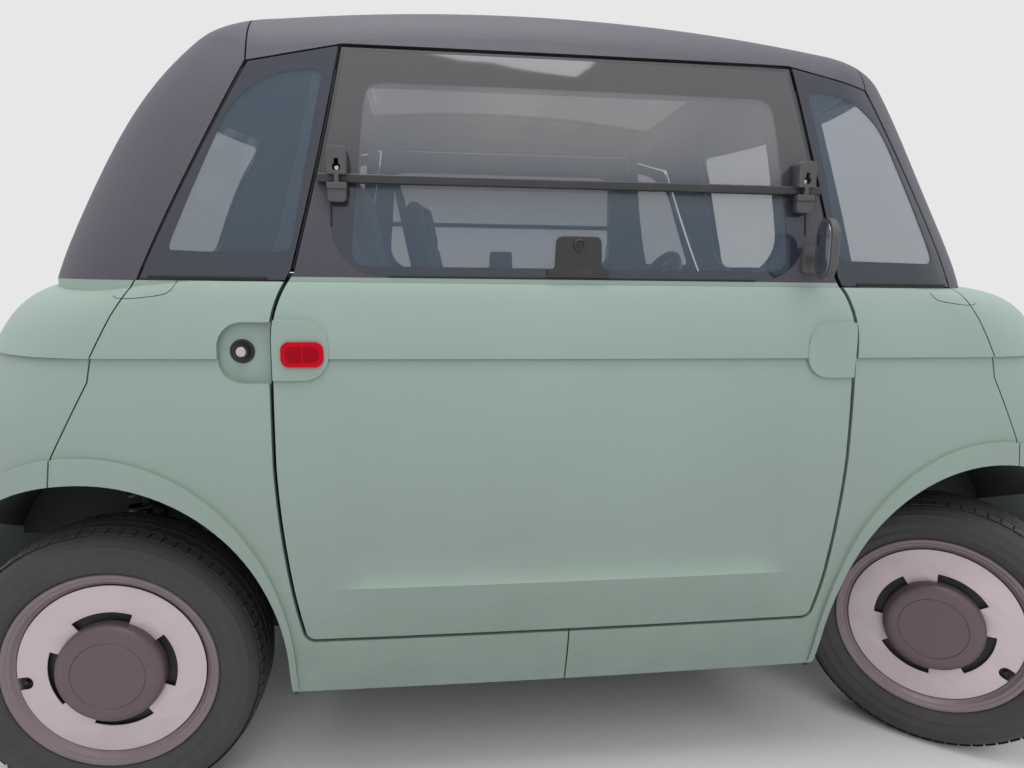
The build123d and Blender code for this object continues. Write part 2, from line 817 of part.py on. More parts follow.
def trapezium(bottom_z, top_z, bottom_half, top_half, grow):
    """A window in front view, narrower at the top, with round corners."""
    with BuildSketch(mode=Mode.PRIVATE) as shape:
        with BuildLine():
            Polyline((-bottom_half - grow, bottom_z - grow), (bottom_half + grow, bottom_z - grow),
                     (top_half + grow, top_z + grow), (-top_half - grow, top_z + grow), close=True)
        make_face()
        fillet(shape.vertices(), GLASS_CORNER)
    return shape.sketch


def roof_column(grow, depth):
    """Upright column through the roof, with the outline of its glass grown all round."""
    with BuildPart() as column:
        with BuildSketch(Plane.XY.offset(HEIGHT - depth - ROOF_FALL)):
            with Locations(((ROOF_GLASS_FRONT - ROOF_GLASS_REAR) / 2, 0)):
                RectangleRounded(ROOF_GLASS_FRONT + ROOF_GLASS_REAR + 2 * grow,
                                 2 * (ROOF_GLASS_HALF + grow), GLASS_CORNER + grow)
        extrude(amount=THROUGH)
    return column.part


with BuildPart() as roof_shell:
    add(skin(across(roof_region(0)), 0, PANEL))
    for grow, depth in ((0, DOOR), (GLASS_BORDER + SEAT, PANE + SEAT)):
        add(outside(roof_column(grow, depth), depth), mode=Mode.SUBTRACT)
write(roof_shell.part, "roof_shell")

with BuildPart() as roof_glass:
    add(skin(roof_column(GLASS_BORDER, PANE), 0, PANE))
write(roof_glass.part, "roof_glass")

ends = {1: ("front_pillars", "windscreen",
            (SCREEN_BOTTOM_Z, SCREEN_TOP_Z, SCREEN_BOTTOM_HALF, SCREEN_TOP_HALF)),
        -1: ("rear_pillars", "rear_window",
             (REAR_BOTTOM_Z, REAR_TOP_Z, REAR_BOTTOM_HALF, REAR_TOP_HALF))}
for end, (pillar_name, glass_name, window) in ends.items():
    with BuildPart() as pillars:
        add(skin(across(end_region(end, SEAM)), 0, PANEL))
        add(end_prism(trapezium(*window, 0), end), mode=Mode.SUBTRACT)
        recess = end_prism(trapezium(*window, SCREEN_BORDER + SEAT), end)
        add(outside(recess, PANE + SEAT), mode=Mode.SUBTRACT)
    write(pillars.part, pillar_name)
    with BuildPart() as glass:
        add(skin(end_prism(trapezium(*window, SCREEN_BORDER), end), 0, PANE))
    write(glass.part, glass_name)

with BuildPart() as quarter_glass:
    for end in (1, -1):
        add(skin(side_prism(quarter_region(end, SEAM)), 0, PANE))
    add(turned(quarter_glass.part))
write(quarter_glass.part, "quarter_glass")

# Inner frame: a ring round each door, roof bows across, and the arms of the door hinges
ring = door_outline(FRAME_END) - door_outline(FRAME_START)


def frame_side():
    """The ring of the right side up to the roof seam, with its hinge arms."""
    low_ring = ring & polygon((-HIGH, 0), (HIGH, 0), (HIGH, BELT_Z), (-HIGH, BELT_Z))
    with BuildPart() as side:
        add(skin(side_prism(low_ring), PANEL + SEAT, FRAME_INNER))
        for end in (1, -1):
            add(skin(side_prism(quarter_region(end, 0) & ring), PANE + SEAT, FRAME_INNER))
            add(side_prism(arch_outline(end, LINER + SEAT), LINER_INNER_Y), mode=Mode.SUBTRACT)
        boss = lock_recess(PANEL / 2 + SEAT)
        add(side_prism(boss, RECESS_FLOOR_Y - PANEL / 2 - SEAT), mode=Mode.SUBTRACT)
        for hinge in HINGES:
            half_arm = HINGE_ARM_WIDTH / 2
            front = hinge.post_x
            with BuildSketch(Plane.XY.offset(hinge.z - HINGE_ARM_HEIGHT / 2)):
                with Locations(hinge_axis):
                    Circle(HINGE_BARREL_RADIUS)
                with Locations((HINGE_X, -HINGE_Y)):
                    Rectangle(HINGE_ARM_WIDTH, HINGE_Y - HINGE_ARM_INNER_Y,
                              align=(Align.CENTER, Align.MIN))
                with Locations((HINGE_X - half_arm, -HINGE_ARM_INNER_Y)):
                    Rectangle(front - HINGE_X + half_arm, HINGE_ARM_WIDTH,
                              align=(Align.MIN, Align.MIN))
                with Locations((front, -HINGE_ARM_INNER_Y + HINGE_ARM_WIDTH)):
                    Rectangle(HINGE_ARM_WIDTH, HINGE_POST_DEPTH, align=(Align.MAX, Align.MAX))
                with Locations(hinge_axis):
                    Circle(HINGE_PIN_RADIUS + HINGE_PIN_FIT, mode=Mode.SUBTRACT)
            extrude(amount=HINGE_ARM_HEIGHT)
    return side.part


with BuildPart() as roof_frame:
    rail = side_prism(ring & roof_region(0), ROOF_RAIL_Y)
    add(rail)
    add(turned(rail))
    for end in (1, -1):
        near = end * (DOOR_TOP_HALF + FRAME_START)
        far = near + end * ROOF_BOW_WIDTH
        add(across(roof_region(0) & polygon((near, 0), (far, 0), (far, HIGH), (near, HIGH))))

with BuildPart() as cabin_frame:
    right_frame = frame_side()
    add(right_frame)
    add(turned(right_frame))
    add(skin(roof_frame.part, PANEL + SEAT, FRAME_INNER))
write(cabin_frame.part, "cabin_frame")

# Wheel arch liners, one over each wheel, with an inner wall above the axle
def arch_liner(end):
    """The liner of a right wheel, with a slot where the spring's shelf passes its wall."""
    upper = polygon((-HIGH, LINER_WALL_Z), (HIGH, LINER_WALL_Z), (HIGH, HIGH), (-HIGH, HIGH))
    with BuildPart() as liner:
        add(side_prism(arch_outline(end, LINER) - arch_outline(end, 0), LINER_INNER_Y))
        add(side_prism(arch_outline(end, LINER) & upper, LINER_INNER_Y, LINER_INNER_Y + LINER))
        add(whole_body(PANEL + SEAT), mode=Mode.INTERSECT)
        with Locations((end * axle_x, -LINER_INNER_Y, SPRING_TOP_Z + FLOOR / 2)):
            Box(2 * (TOWER_HALF + LINER_SLOT_GAP), 4 * LINER, FLOOR + 2 * LINER_SLOT_GAP,
                mode=Mode.SUBTRACT)
    return liner.part


with BuildPart() as arch_liners:
    for end in (1, -1):
        liner = arch_liner(end)
        add(liner)
        add(liner.mirror(Plane.XZ))
write(arch_liners.part, "arch_liners")

# Floor tub: floor, bulkheads and a shelf over each axle
def tub_half(end):
    """Side view of the floor and one step up to the shelf."""
    top = SHELF_Z + FLOOR
    wall = BULKHEAD_X + FLOOR
    return polygon((0, FLOOR_Z), (end * wall, FLOOR_Z), (end * wall, SHELF_Z),
                   (end * SHELF_REACH, SHELF_Z), (end * SHELF_REACH, top),
                   (end * BULKHEAD_X, top), (end * BULKHEAD_X, FLOOR_Z + FLOOR),
                   (0, FLOOR_Z + FLOOR))


with BuildPart() as floor_tub:
    add(across(tub_half(1)))
    add(across(tub_half(-1)))
    Box(2 * HIGH, 2 * TUB_HALF, 2 * HIGH, mode=Mode.INTERSECT)
    for end in (1, -1):
        hollow = side_prism(arch_outline(end, LINER + SEAT), LINER_INNER_Y - SEAT)
        add(hollow, mode=Mode.SUBTRACT)
        add(hollow.mirror(Plane.XZ), mode=Mode.SUBTRACT)
write(floor_tub.part, "floor_tub")

# Chassis: two rails, cross members, end beams, and towers over the axles
with BuildPart() as chassis:
    rail_z = FLOOR_Z - RAIL_HEIGHT
    for side in (1, -1):
        with Locations((0, side * RAIL_Y, rail_z)):
            Box(2 * RAIL_REACH, RAIL_WIDTH, RAIL_HEIGHT, align=(Align.CENTER, Align.CENTER, Align.MIN))
    for x in (-RAIL_REACH, -BULKHEAD_X, 0, BULKHEAD_X, RAIL_REACH):
        with Locations((x, 0, rail_z)):
            Box(RAIL_WIDTH, 2 * RAIL_Y, RAIL_HEIGHT, align=(Align.CENTER, Align.CENTER, Align.MIN))
    for x in (-BULKHEAD_X + RAIL_WIDTH, 0, BULKHEAD_X - RAIL_WIDTH):
        with Locations((x, 0, FLOOR_Z)):
            Box(RAIL_WIDTH, 2 * TUB_HALF, OUTRIGGER_HEIGHT,
                align=(Align.CENTER, Align.CENTER, Align.MAX))
    for end in (1, -1):
        with Locations((end * (RAIL_REACH - BEAM_DEPTH), 0, BEAM_Z)):
            Box(BEAM_DEPTH, 2 * BEAM_HALF, BEAM_HEIGHT, align=(Align.CENTER, Align.CENTER, Align.MIN))
        for side in (1, -1):
            with Locations((end * (RAIL_REACH - BEAM_DEPTH), side * RAIL_Y, rail_z)):
                Box(BEAM_DEPTH, RAIL_WIDTH, BEAM_Z - rail_z + BEAM_HEIGHT,
                    align=(Align.CENTER, Align.CENTER, Align.MIN))
            with Locations((end * axle_x, side * TOWER_Y, rail_z)):
                Box(TOWER_LENGTH, TOWER_DEPTH, SPRING_TOP_Z + FLOOR - rail_z,
                    align=(Align.CENTER, Align.CENTER, Align.MIN))
            shelf = SPRING_LINES[end] + SPRING_RADIUS + SHELF_MARGIN - TOWER_Y
            with Locations((end * axle_x, side * (TOWER_Y + shelf / 2), SPRING_TOP_Z)):
                Box(2 * TOWER_HALF, shelf, FLOOR, align=(Align.CENTER, Align.CENTER, Align.MIN))
write(chassis.part, "chassis")

# Wheel and tyre at the origin, facing right, before they are set at the corners
def wheel_set():
    """Wheel with its cover, and tyre, about the y axis with the cover's rim plane at y = 0."""
    inner_face = RIM_FACE_Y - HUB_FACE_Y
    bore_end = inner_face - SPIGOT_LENGTH - RIM_THICKNESS
    spigot = SPIGOT_RADIUS + SPIGOT_FIT
    web = DISC_DEPTH + DISC_THICKNESS + RIM_THICKNESS / 2
    slot_depth = DISC_DEPTH + DISC_THICKNESS
    well = RIM_WELL_RADIUS
    well_front, well_back = RIM_WELL_FRONT, RIM_WELL_BACK
    with BuildPart() as wheel:
        with BuildSketch(Plane.XY) as section:
            with BuildLine():
                Polyline((RIM_RADIUS, 0), (RIM_RADIUS, RIM_THICKNESS),
                         (RIM_RADIUS - RIM_LIP, 2 * RIM_THICKNESS),
                         (well + RIM_THICKNESS, well_front), (well + RIM_THICKNESS, well_back),
                         (RIM_RADIUS - RIM_BEAD, well_back + RIM_BEAD),
                         (RIM_RADIUS - 2 * RIM_THICKNESS, RIM_WIDTH - RIM_FLANGE),
                         (RIM_RADIUS, RIM_WIDTH), (RIM_RADIUS, RIM_WIDTH + RIM_FLANGE),
                         (RIM_RADIUS - RIM_BEAD, RIM_WIDTH + RIM_FLANGE / 2),
                         (RIM_RADIUS - SLOPE, well_back + SLOPE),
                         (well, well_back + RIM_THICKNESS), (well, well_front),
                         (DISC_RADIUS - DISC_THICKNESS, web),
                         (HUB_RADIUS + RIM_BEAD, web),
                         (HUB_RADIUS, inner_face - DISC_THICKNESS), (HUB_RADIUS, inner_face),
                         (spigot, inner_face), (spigot, bore_end), (0, bore_end),
                         (0, -CAP_REACH), (CAP_RADIUS - CAP_ROUND, -CAP_REACH),
                         (CAP_RADIUS, -CAP_REACH / 2), (CAP_RADIUS, DISC_DEPTH / 2),
                         (SLOT_OUTER + DISC_CROWN, DISC_DEPTH - DISC_CROWN),
                         (DISC_RADIUS, DISC_DEPTH - DISC_CROWN / 2),
                         (RIM_RADIUS - RIM_THICKNESS, 0), close=True)
            make_face()
        revolve(axis=Axis.Y)
        with BuildSketch(Plane.XZ.offset(-slot_depth)):
            with Locations((NOTCH_X, 0)):
                Circle(NOTCH_RADIUS)
                Rectangle(DISC_RADIUS - NOTCH_X, 2 * NOTCH_RADIUS, align=(Align.MIN, Align.CENTER))
        extrude(amount=slot_depth, mode=Mode.SUBTRACT)
        with BuildSketch(Plane.XZ.offset(-slot_depth)):
            with PolarLocations(0, SLOT_COUNT):
                with BuildLine():
                    half = radians(SLOT_ANGLE / 2)
                    for radius in (SLOT_INNER, SLOT_OUTER):
                        ThreePointArc((radius * cos(half), -radius * sin(half)), (radius, 0),
                                      (radius * cos(half), radius * sin(half)))
                    for side in (1, -1):
                        Line((SLOT_INNER * cos(half), side * SLOT_INNER * sin(half)),
                             (SLOT_OUTER * cos(half), side * SLOT_OUTER * sin(half)))
                make_face()
        extrude(amount=slot_depth, mode=Mode.SUBTRACT)
    mid = TYRE_WIDTH / 2
    centre = RIM_FACE_Y - TYRE_CENTRE_Y
    bead = RIM_RADIUS + SEAT
    with BuildPart() as tyre:
        with BuildSketch(Plane.XY) as section:
            with BuildLine():
                right = [(bead + row.rise, mid - row.tuck) for row in SIDEWALL]
                right += [(TYRE_RADIUS - TREAD_FALL, mid - TREAD_FALL_WIDTH),
                          (TYRE_RADIUS, mid - TREAD_EDGE)]
                left = [(radius, -width) for radius, width in reversed(right)]
                Polyline([(radius, centre + width) for radius, width in right + left], close=True)
            make_face()
        revolve(axis=Axis.Y)
    return wheel.part, tyre.part


wheel_part, tyre_part = wheel_set()
corners = {"front_right": (1, -1), "front_left": (1, 1), "rear_right": (-1, -1), "rear_left": (-1, 1)}


def at_corner(part, end, side):
    """Move a piece that faces right into its corner, and steer it at the front."""
    placed = part if side < 0 else part.rotate(Axis.Z, 180)
    placed = placed.translate((end * axle_x, side * RIM_FACE_Y, TYRE_RADIUS))
    return steered(placed, side) if end > 0 else placed


def steered(part, side):
    """Turn a front piece about its kingpin, to the right."""
    kingpin = Axis((axle_x, side * KINGPIN_Y, 0), (0, 0, 1))
    return part.rotate(kingpin, -STEER_ANGLE)


for corner, (end, side) in corners.items():
    write(at_corner(wheel_part, end, side), f"wheel_{corner}")
    write(at_corner(tyre_part, end, side), f"tyre_{corner}")

# Knuckles: hub face and spigot, kingpin post between the ball seats, and steering arm
ball_low = TYRE_RADIUS - BALL_RISE
ball_high = TYRE_RADIUS + BALL_RISE
steer_arm_z = TYRE_RADIUS + STEER_ARM_RISE


def knuckle(side):
    """Front knuckle of one side, straight ahead."""
    hub_back = HUB_FACE_Y - RUNNING_GAP
    with BuildPart() as upright:
        with BuildSketch(Plane.XZ.offset(hub_back - KNUCKLE_PLATE)):
            with Locations((axle_x, TYRE_RADIUS)):
                Circle(KNUCKLE_PLATE_RADIUS)
        extrude(amount=KNUCKLE_PLATE)
        with BuildSketch(Plane.XZ.offset(hub_back)):
            with Locations((axle_x, TYRE_RADIUS)):
                Circle(SPIGOT_RADIUS)
        extrude(amount=SPIGOT_LENGTH)
        seat = ARM_THICKNESS / 2
        for z, toward in ((ball_low + seat, 1), (ball_high - seat, -1)):
            with BuildSketch(Plane.XY.offset(z)):
                with Locations((axle_x, -KINGPIN_Y + BALL_SEAT_SHIFT)):
                    RectangleRounded(KNUCKLE_WIDTH, BALL_SEAT_LENGTH, KNUCKLE_WIDTH / 2 - 1)
            extrude(amount=toward * BALL_SEAT)
        with Locations((axle_x, -hub_back + KNUCKLE_POST_INNER, ball_low + seat)):
            Box(KNUCKLE_WIDTH, KNUCKLE_POST, ball_high - ball_low - 2 * seat,
                align=(Align.CENTER, Align.MIN, Align.MIN))
        root = -hub_back + STEER_ARM_ROOT
        eye_x = axle_x - STEER_ARM
        with BuildSketch(Plane.XY.offset(steer_arm_z)):
            with BuildLine():
                Polyline((axle_x, root), (axle_x, root + STEER_ARM_ROOT_WIDTH),
                         (eye_x - STEER_EYE / 2, -KINGPIN_Y + STEER_EYE), (eye_x, -KINGPIN_Y),
                         (eye_x + STEER_EYE, -KINGPIN_Y + STEER_EYE), close=True)
            make_face()
            with Locations((eye_x, -KINGPIN_Y)):
                Circle(STEER_EYE)
        extrude(amount=STEER_ARM_THICKNESS)
    if side > 0:
        return upright.part.mirror(Plane.XZ)
    return upright.part


for side, name in ((-1, "right"), (1, "left")):
    write(steered(knuckle(side), side), f"knuckle_{name}")

# Front suspension: wishbones with ball ends, on feet under the rails and bars on the towers
tower_face = TOWER_Y + TOWER_DEPTH / 2 + SEAT
pivot_x = (ARM_FOOT_OUTER + ARM_FOOT_INNER) / 2
with BuildPart() as front_suspension:
    for side in (-1, 1):
        for z, drop in ((ball_low, 1), (ball_high, -1)):
            with BuildSketch(Plane.XY.offset(z - drop * ARM_THICKNESS / 2)):
                with BuildLine():
                    Polyline((axle_x - ARM_TIP_HALF, side * KINGPIN_Y),
                             (axle_x + ARM_TIP_HALF, side * KINGPIN_Y),
                             (axle_x + ARM_KNEE_HALF, side * ARM_KNEE_Y),
                             (axle_x + ARM_FOOT_OUTER, side * ARM_PIVOT_Y),
                             (axle_x + ARM_FOOT_INNER, side * ARM_PIVOT_Y),
                             (axle_x, side * ARM_CROTCH_Y),
                             (axle_x - ARM_FOOT_INNER, side * ARM_PIVOT_Y),
                             (axle_x - ARM_FOOT_OUTER, side * ARM_PIVOT_Y),
                             (axle_x - ARM_KNEE_HALF, side * ARM_KNEE_Y), close=True)
                make_face()
                if drop > 0:
                    with Locations((axle_x, side * SPRING_Y)):
                        Rectangle(SPRING_CROSS, SPRING_RADIUS)
                else:
                    with Locations((axle_x, side * (tower_face + ARM_PIVOT_BAR / 2))):
                        Rectangle(2 * ARM_FOOT_OUTER, ARM_PIVOT_BAR)
                with Locations((axle_x, side * KINGPIN_Y)):
                    Circle(BALL_RADIUS)
            extrude(amount=drop * (ARM_THICKNESS - SEAT))
        foot_z = ball_low - ARM_THICKNESS / 2
        for x in (-pivot_x, pivot_x):
            with Locations((axle_x + x, side * (RAIL_Y + RAIL_WIDTH / 4), foot_z)):
                Box(ARM_PIVOT_LENGTH, RAIL_WIDTH / 2, FLOOR_Z - RAIL_HEIGHT - foot_z - SEAT,
                    align=(Align.CENTER, Align.CENTER, Align.MIN))
write(front_suspension.part, "front_suspension")


# Steering rack: a housing on the rails, and the rod that slides in it with a ball at each end
rack_x = axle_x - STEER_ARM * (1 + cos(radians(STEER_ANGLE))) / 2
rod_z = steer_arm_z + STEER_ARM_THICKNESS + RACK_EYE / 2 + SEAT
rack_shift = STEER_ARM * sin(radians(STEER_ANGLE))
with BuildPart() as rack_housing:
    with BuildSketch(Plane.XZ.offset(-RACK_HOUSING_HALF)):
        with Locations((rack_x, rod_z)):
            Circle(RACK_HOUSING_RADIUS)
            Circle(RACK_RADIUS + RACK_FIT, mode=Mode.SUBTRACT)
    extrude(amount=2 * RACK_HOUSING_HALF)
    for side in (1, -1):
        block_y = RACK_HOUSING_HALF + RAIL_WIDTH / 4
        with Locations((rack_x, side * block_y, FLOOR_Z + SEAT)):
            Box(2 * RACK_HOUSING_RADIUS, RAIL_WIDTH, rod_z - FLOOR_Z + RACK_HOUSING_RADIUS,
                align=(Align.CENTER, Align.CENTER, Align.MIN))
    with BuildSketch(Plane.XZ.offset(-THROUGH / 2)):
        with Locations((rack_x, rod_z)):
            Circle(RACK_RADIUS + RACK_FIT)
    extrude(amount=THROUGH, mode=Mode.SUBTRACT)
write(rack_housing.part, "rack_housing")

with BuildPart() as steering_rack:
    with BuildSketch(Plane.XZ.offset(-KINGPIN_Y)):
        with Locations((rack_x, rod_z)):
            Circle(RACK_RADIUS)
    extrude(amount=2 * KINGPIN_Y)
    for side in (1, -1):
        with BuildSketch(Plane.XY.offset(rod_z - RACK_EYE / 2)):
            with Locations((rack_x, side * KINGPIN_Y)):
                Circle(STEER_EYE)
        extrude(amount=RACK_EYE)
write(steering_rack.part.translate((0, rack_shift, 0)), "steering_rack")

# Springs over their dampers, from wishbone or trailing arm up to the towers
with BuildPart() as springs:
    for end, foot_z in ((1, ball_low + ARM_THICKNESS / 2), (-1, TYRE_RADIUS + TRAIL_HEIGHT / 2)):
        coil_low = max(foot_z + SPRING_FOOT, ball_high + ARM_THICKNESS)
        for side in (1, -1):
            with BuildSketch(Plane.XY.offset(foot_z + SEAT)):
                with Locations((end * axle_x, side * SPRING_LINES[end])):
                    Circle(DAMPER_RADIUS)
            extrude(amount=SPRING_TOP_Z - foot_z - 2 * SEAT)
            with BuildSketch(Plane.XY.offset(coil_low)):
                with Locations((end * axle_x, side * SPRING_LINES[end])):
                    Circle(SPRING_RADIUS)
            extrude(amount=SPRING_TOP_Z - SEAT - coil_low)
write(springs.part, "springs")

# Rear suspension: trailing arms with hubs, joined by a twist beam
Disc = namedtuple("Disc", "start end radius bore")


def trailing_arm():
    """The right trailing arm: arm, pivot on the rail, stub axle, brake plate and spigot."""
    hub_back = HUB_FACE_Y - RUNNING_GAP
    arm_face = TRAIL_Y + TRAIL_WIDTH / 2
    plate_face = hub_back - BRAKE_PLATE_GAP
    rail_face = RAIL_Y + RAIL_WIDTH / 2 + SEAT
    beam_z = TYRE_RADIUS - TWIST_BEAM_DROP
    with BuildPart() as arm:
        with Locations(((TRAIL_PIVOT_X - axle_x) / 2, -TRAIL_Y, TYRE_RADIUS)):
            Box(axle_x + TRAIL_PIVOT_X + 2 * TRAIL_TAIL, TRAIL_WIDTH, TRAIL_HEIGHT)
        for disc in (Disc(arm_face, hub_back, STUB_RADIUS, 0),
                     Disc(hub_back, hub_back + SPIGOT_LENGTH, SPIGOT_RADIUS, 0),
                     Disc(plate_face - BRAKE_PLATE, plate_face, BRAKE_PLATE_RADIUS,
                          BRAKE_PLATE_BORE)):
            with BuildSketch(Plane.XZ.offset(disc.start)):
                with Locations((-axle_x, TYRE_RADIUS)):
                    Circle(disc.radius)
                    if disc.bore:
                        Circle(disc.bore, mode=Mode.SUBTRACT)
            extrude(amount=disc.end - disc.start)
        with Locations((TRAIL_PIVOT_X + TRAIL_TAIL, -rail_face, FLOOR_Z - PIVOT_DROP)):
            Box(PIVOT_LENGTH, TRAIL_Y - rail_face, PIVOT_HEIGHT,
                align=(Align.CENTER, Align.MAX, Align.MAX))
        with BuildSketch(Plane.XZ):
            with Locations((TWIST_BEAM_X, beam_z)):
                Circle(TWIST_BEAM_RADIUS)
        extrude(amount=TRAIL_Y)
        with Locations((TWIST_BEAM_X, -TRAIL_Y, beam_z)):
            Box(TWIST_BRACKET_LENGTH, TRAIL_WIDTH, TWIST_BRACKET_HEIGHT,
                align=(Align.CENTER, Align.CENTER, Align.MIN))
    return arm.part


with BuildPart() as rear_suspension:
    right_arm = trailing_arm()
    add(right_arm)
    add(right_arm.mirror(Plane.XZ))
write(rear_suspension.part, "rear_suspension")

# Heavy units as plain blocks: motor with its gearbox, and battery
with BuildPart() as drive_unit:
    with Locations((axle_x + MOTOR_SHIFT, 0, FLOOR_Z + SEAT)):
        Box(MOTOR_LENGTH, MOTOR_WIDTH, MOTOR_HEIGHT, align=(Align.CENTER, Align.CENTER, Align.MIN))
    for side in (1, -1):
        with Locations((axle_x + MOTOR_SHIFT, side * RAIL_Y, FLOOR_Z + SEAT)):
            Box(RAIL_WIDTH, MOTOR_FOOT_WIDTH, MOTOR_FOOT, align=(Align.CENTER, Align.CENTER, Align.MIN))
write(drive_unit.part, "drive_unit")

with BuildPart() as battery:
    under_seat = PASSENGER_SEAT_X + SEAT_PAN_LENGTH / 2
    with Locations((under_seat, -SEAT_Y, FLOOR_Z + FLOOR + SEAT)):
        Box(BATTERY_LENGTH, BATTERY_WIDTH, BATTERY_HEIGHT,
            align=(Align.CENTER, Align.CENTER, Align.MIN))
write(battery.part, "battery")

# Seats: bent shells on side legs, with their cushions
with BuildPart() as seat_shells:
    for seat_x, side in ((DRIVER_SEAT_X, 1), (PASSENGER_SEAT_X, -1)):
        front = seat_x + SEAT_PAN_LENGTH
        with BuildSketch(Plane.XZ.offset(-side * SEAT_Y - SEAT_WIDTH / 2)):
            with BuildLine():
                Polyline((front, SEAT_PAN_Z + SEAT_RISE),
                         (front, SEAT_PAN_Z + SEAT_RISE - SEAT_SHELL),
                         (seat_x - SEAT_SHELL / 2, SEAT_PAN_Z - SEAT_SHELL),
                         (seat_x - SEAT_RAKE - SEAT_SHELL, SEAT_PAN_Z + SEAT_BACK_HEIGHT),
                         (seat_x - SEAT_RAKE, SEAT_PAN_Z + SEAT_BACK_HEIGHT),
                         (seat_x, SEAT_PAN_Z), close=True)
            make_face()
        extrude(amount=SEAT_WIDTH)
        for leg in (1, -1):
            leg_y = side * SEAT_Y + leg * (SEAT_WIDTH - SEAT_LEG) / 2
            with Locations((seat_x + SEAT_PAN_LENGTH / 2, leg_y, FLOOR_Z + FLOOR + SEAT)):
                Box(SEAT_LEG_LENGTH, SEAT_LEG, SEAT_PAN_Z - FLOOR_Z - FLOOR - SEAT_SHELL / 2,
                    align=(Align.CENTER, Align.CENTER, Align.MIN))
write(seat_shells.part, "seat_shells")

with BuildPart() as seat_cushions:
    slope = SEAT_RAKE / SEAT_BACK_HEIGHT
    pan_slope = SEAT_RISE / SEAT_PAN_LENGTH
    width = SEAT_WIDTH - 2 * CUSHION_MARGIN
    low, high = CUSHION + CUSHION_MARGIN, SEAT_BACK_HEIGHT - CUSHION_MARGIN
    for seat_x, side in ((DRIVER_SEAT_X, 1), (PASSENGER_SEAT_X, -1)):
        heel = seat_x + CUSHION_MARGIN / 2
        front = seat_x + SEAT_PAN_LENGTH
        pan_z = SEAT_PAN_Z + 2 * SEAT
        with BuildSketch(Plane.XZ.offset(-side * SEAT_Y - width / 2)):
            with BuildLine():
                Polyline((heel, pan_z + pan_slope * CUSHION_MARGIN / 2),
                         (front, pan_z + SEAT_RISE),
                         (front, SEAT_PAN_Z + SEAT_RISE + CUSHION),
                         (seat_x + CUSHION, SEAT_PAN_Z + CUSHION), close=True)
            make_face()
        extrude(amount=width)
        with BuildSketch(Plane.XZ.offset(-side * SEAT_Y - width / 2)):
            with BuildLine():
                Polyline((seat_x - slope * low + SEAT, SEAT_PAN_Z + low),
                         (seat_x - slope * low + CUSHION, SEAT_PAN_Z + low),
                         (seat_x - slope * high + CUSHION, SEAT_PAN_Z + high),
                         (seat_x - slope * high + SEAT, SEAT_PAN_Z + high), close=True)
            make_face()
        extrude(amount=width)
write(seat_cushions.part, "seat_cushions")

# Dashboard, steering column with pedals, and steering wheel
with BuildPart() as dashboard:
    with BuildSketch(Plane.XZ.offset(-DASH_HALF)):
        with BuildLine():
            Polyline((DASH_REAR_X, DASH_BOTTOM_Z), (DASH_FRONT_X, SHELF_Z + FLOOR + SEAT),
                     (DASH_FRONT_X, DASH_TOP_Z - DASH_BROW), (DASH_REAR_X + DASH_BROW, DASH_TOP_Z),
                     (DASH_REAR_X, DASH_TOP_Z - DASH_BROW), close=True)
        make_face()
    extrude(amount=2 * DASH_HALF)
write(dashboard.part, "dashboard")

tilt = radians(STEERING_WHEEL_TILT)
column_dir = (-cos(tilt), 0, sin(tilt))
wheel_centre = (STEERING_WHEEL_X, SEAT_Y, STEERING_WHEEL_Z)
wheel_plane = Plane(origin=wheel_centre, x_dir=(0, 1, 0), z_dir=column_dir)
rim_plane = Plane(origin=wheel_centre, x_dir=(0, 1, 0), z_dir=(sin(tilt), 0, cos(tilt)))
with BuildPart() as steering_wheel:
    with BuildSketch(rim_plane):
        with Locations((STEERING_WHEEL_RADIUS, 0)):
            Circle(STEERING_WHEEL_GRIP)
    revolve(axis=Axis(wheel_centre, column_dir))
    with BuildSketch(wheel_plane.offset(-STEERING_WHEEL_GRIP)):
        Circle(STEERING_HUB_RADIUS)
        for angle in (0, 180, 270):
            with Locations(Location((0, 0), angle)):
                Rectangle(STEERING_WHEEL_RADIUS, SPOKE_WIDTH, align=(Align.MIN, Align.CENTER))
    extrude(amount=SPOKE)
    with BuildSketch(wheel_plane.offset(-STEERING_WHEEL_GRIP - STEERING_BOSS)):
        Circle(STEERING_BOSS_RADIUS)
    extrude(amount=STEERING_BOSS + SPOKE / 2)
write(steering_wheel.part, "steering_wheel")

with BuildPart() as steering_column:
    with BuildSketch(wheel_plane.offset(-STEERING_WHEEL_GRIP - STEERING_BOSS - SEAT)):
        Circle(COLUMN_RADIUS)
    extrude(amount=-COLUMN_LENGTH)
    with Locations((DASH_REAR_X - SEAT, 0, 0)):
        Box(HIGH, HIGH, 2 * HIGH, align=(Align.MIN, Align.CENTER, Align.CENTER), mode=Mode.SUBTRACT)
write(steering_column.part, "steering_column")

with BuildPart() as pedals:
    for y in PEDAL_OFFSETS:
        with Locations((PEDAL_X, SEAT_Y + y, PEDAL_Z)):
            Box(PEDAL, PEDAL_WIDTH, PEDAL_HEIGHT)
            Box(BULKHEAD_X - PEDAL_X - SEAT, PEDAL, PEDAL,
                align=(Align.MIN, Align.CENTER, Align.CENTER))
write(pedals.part, "pedals")

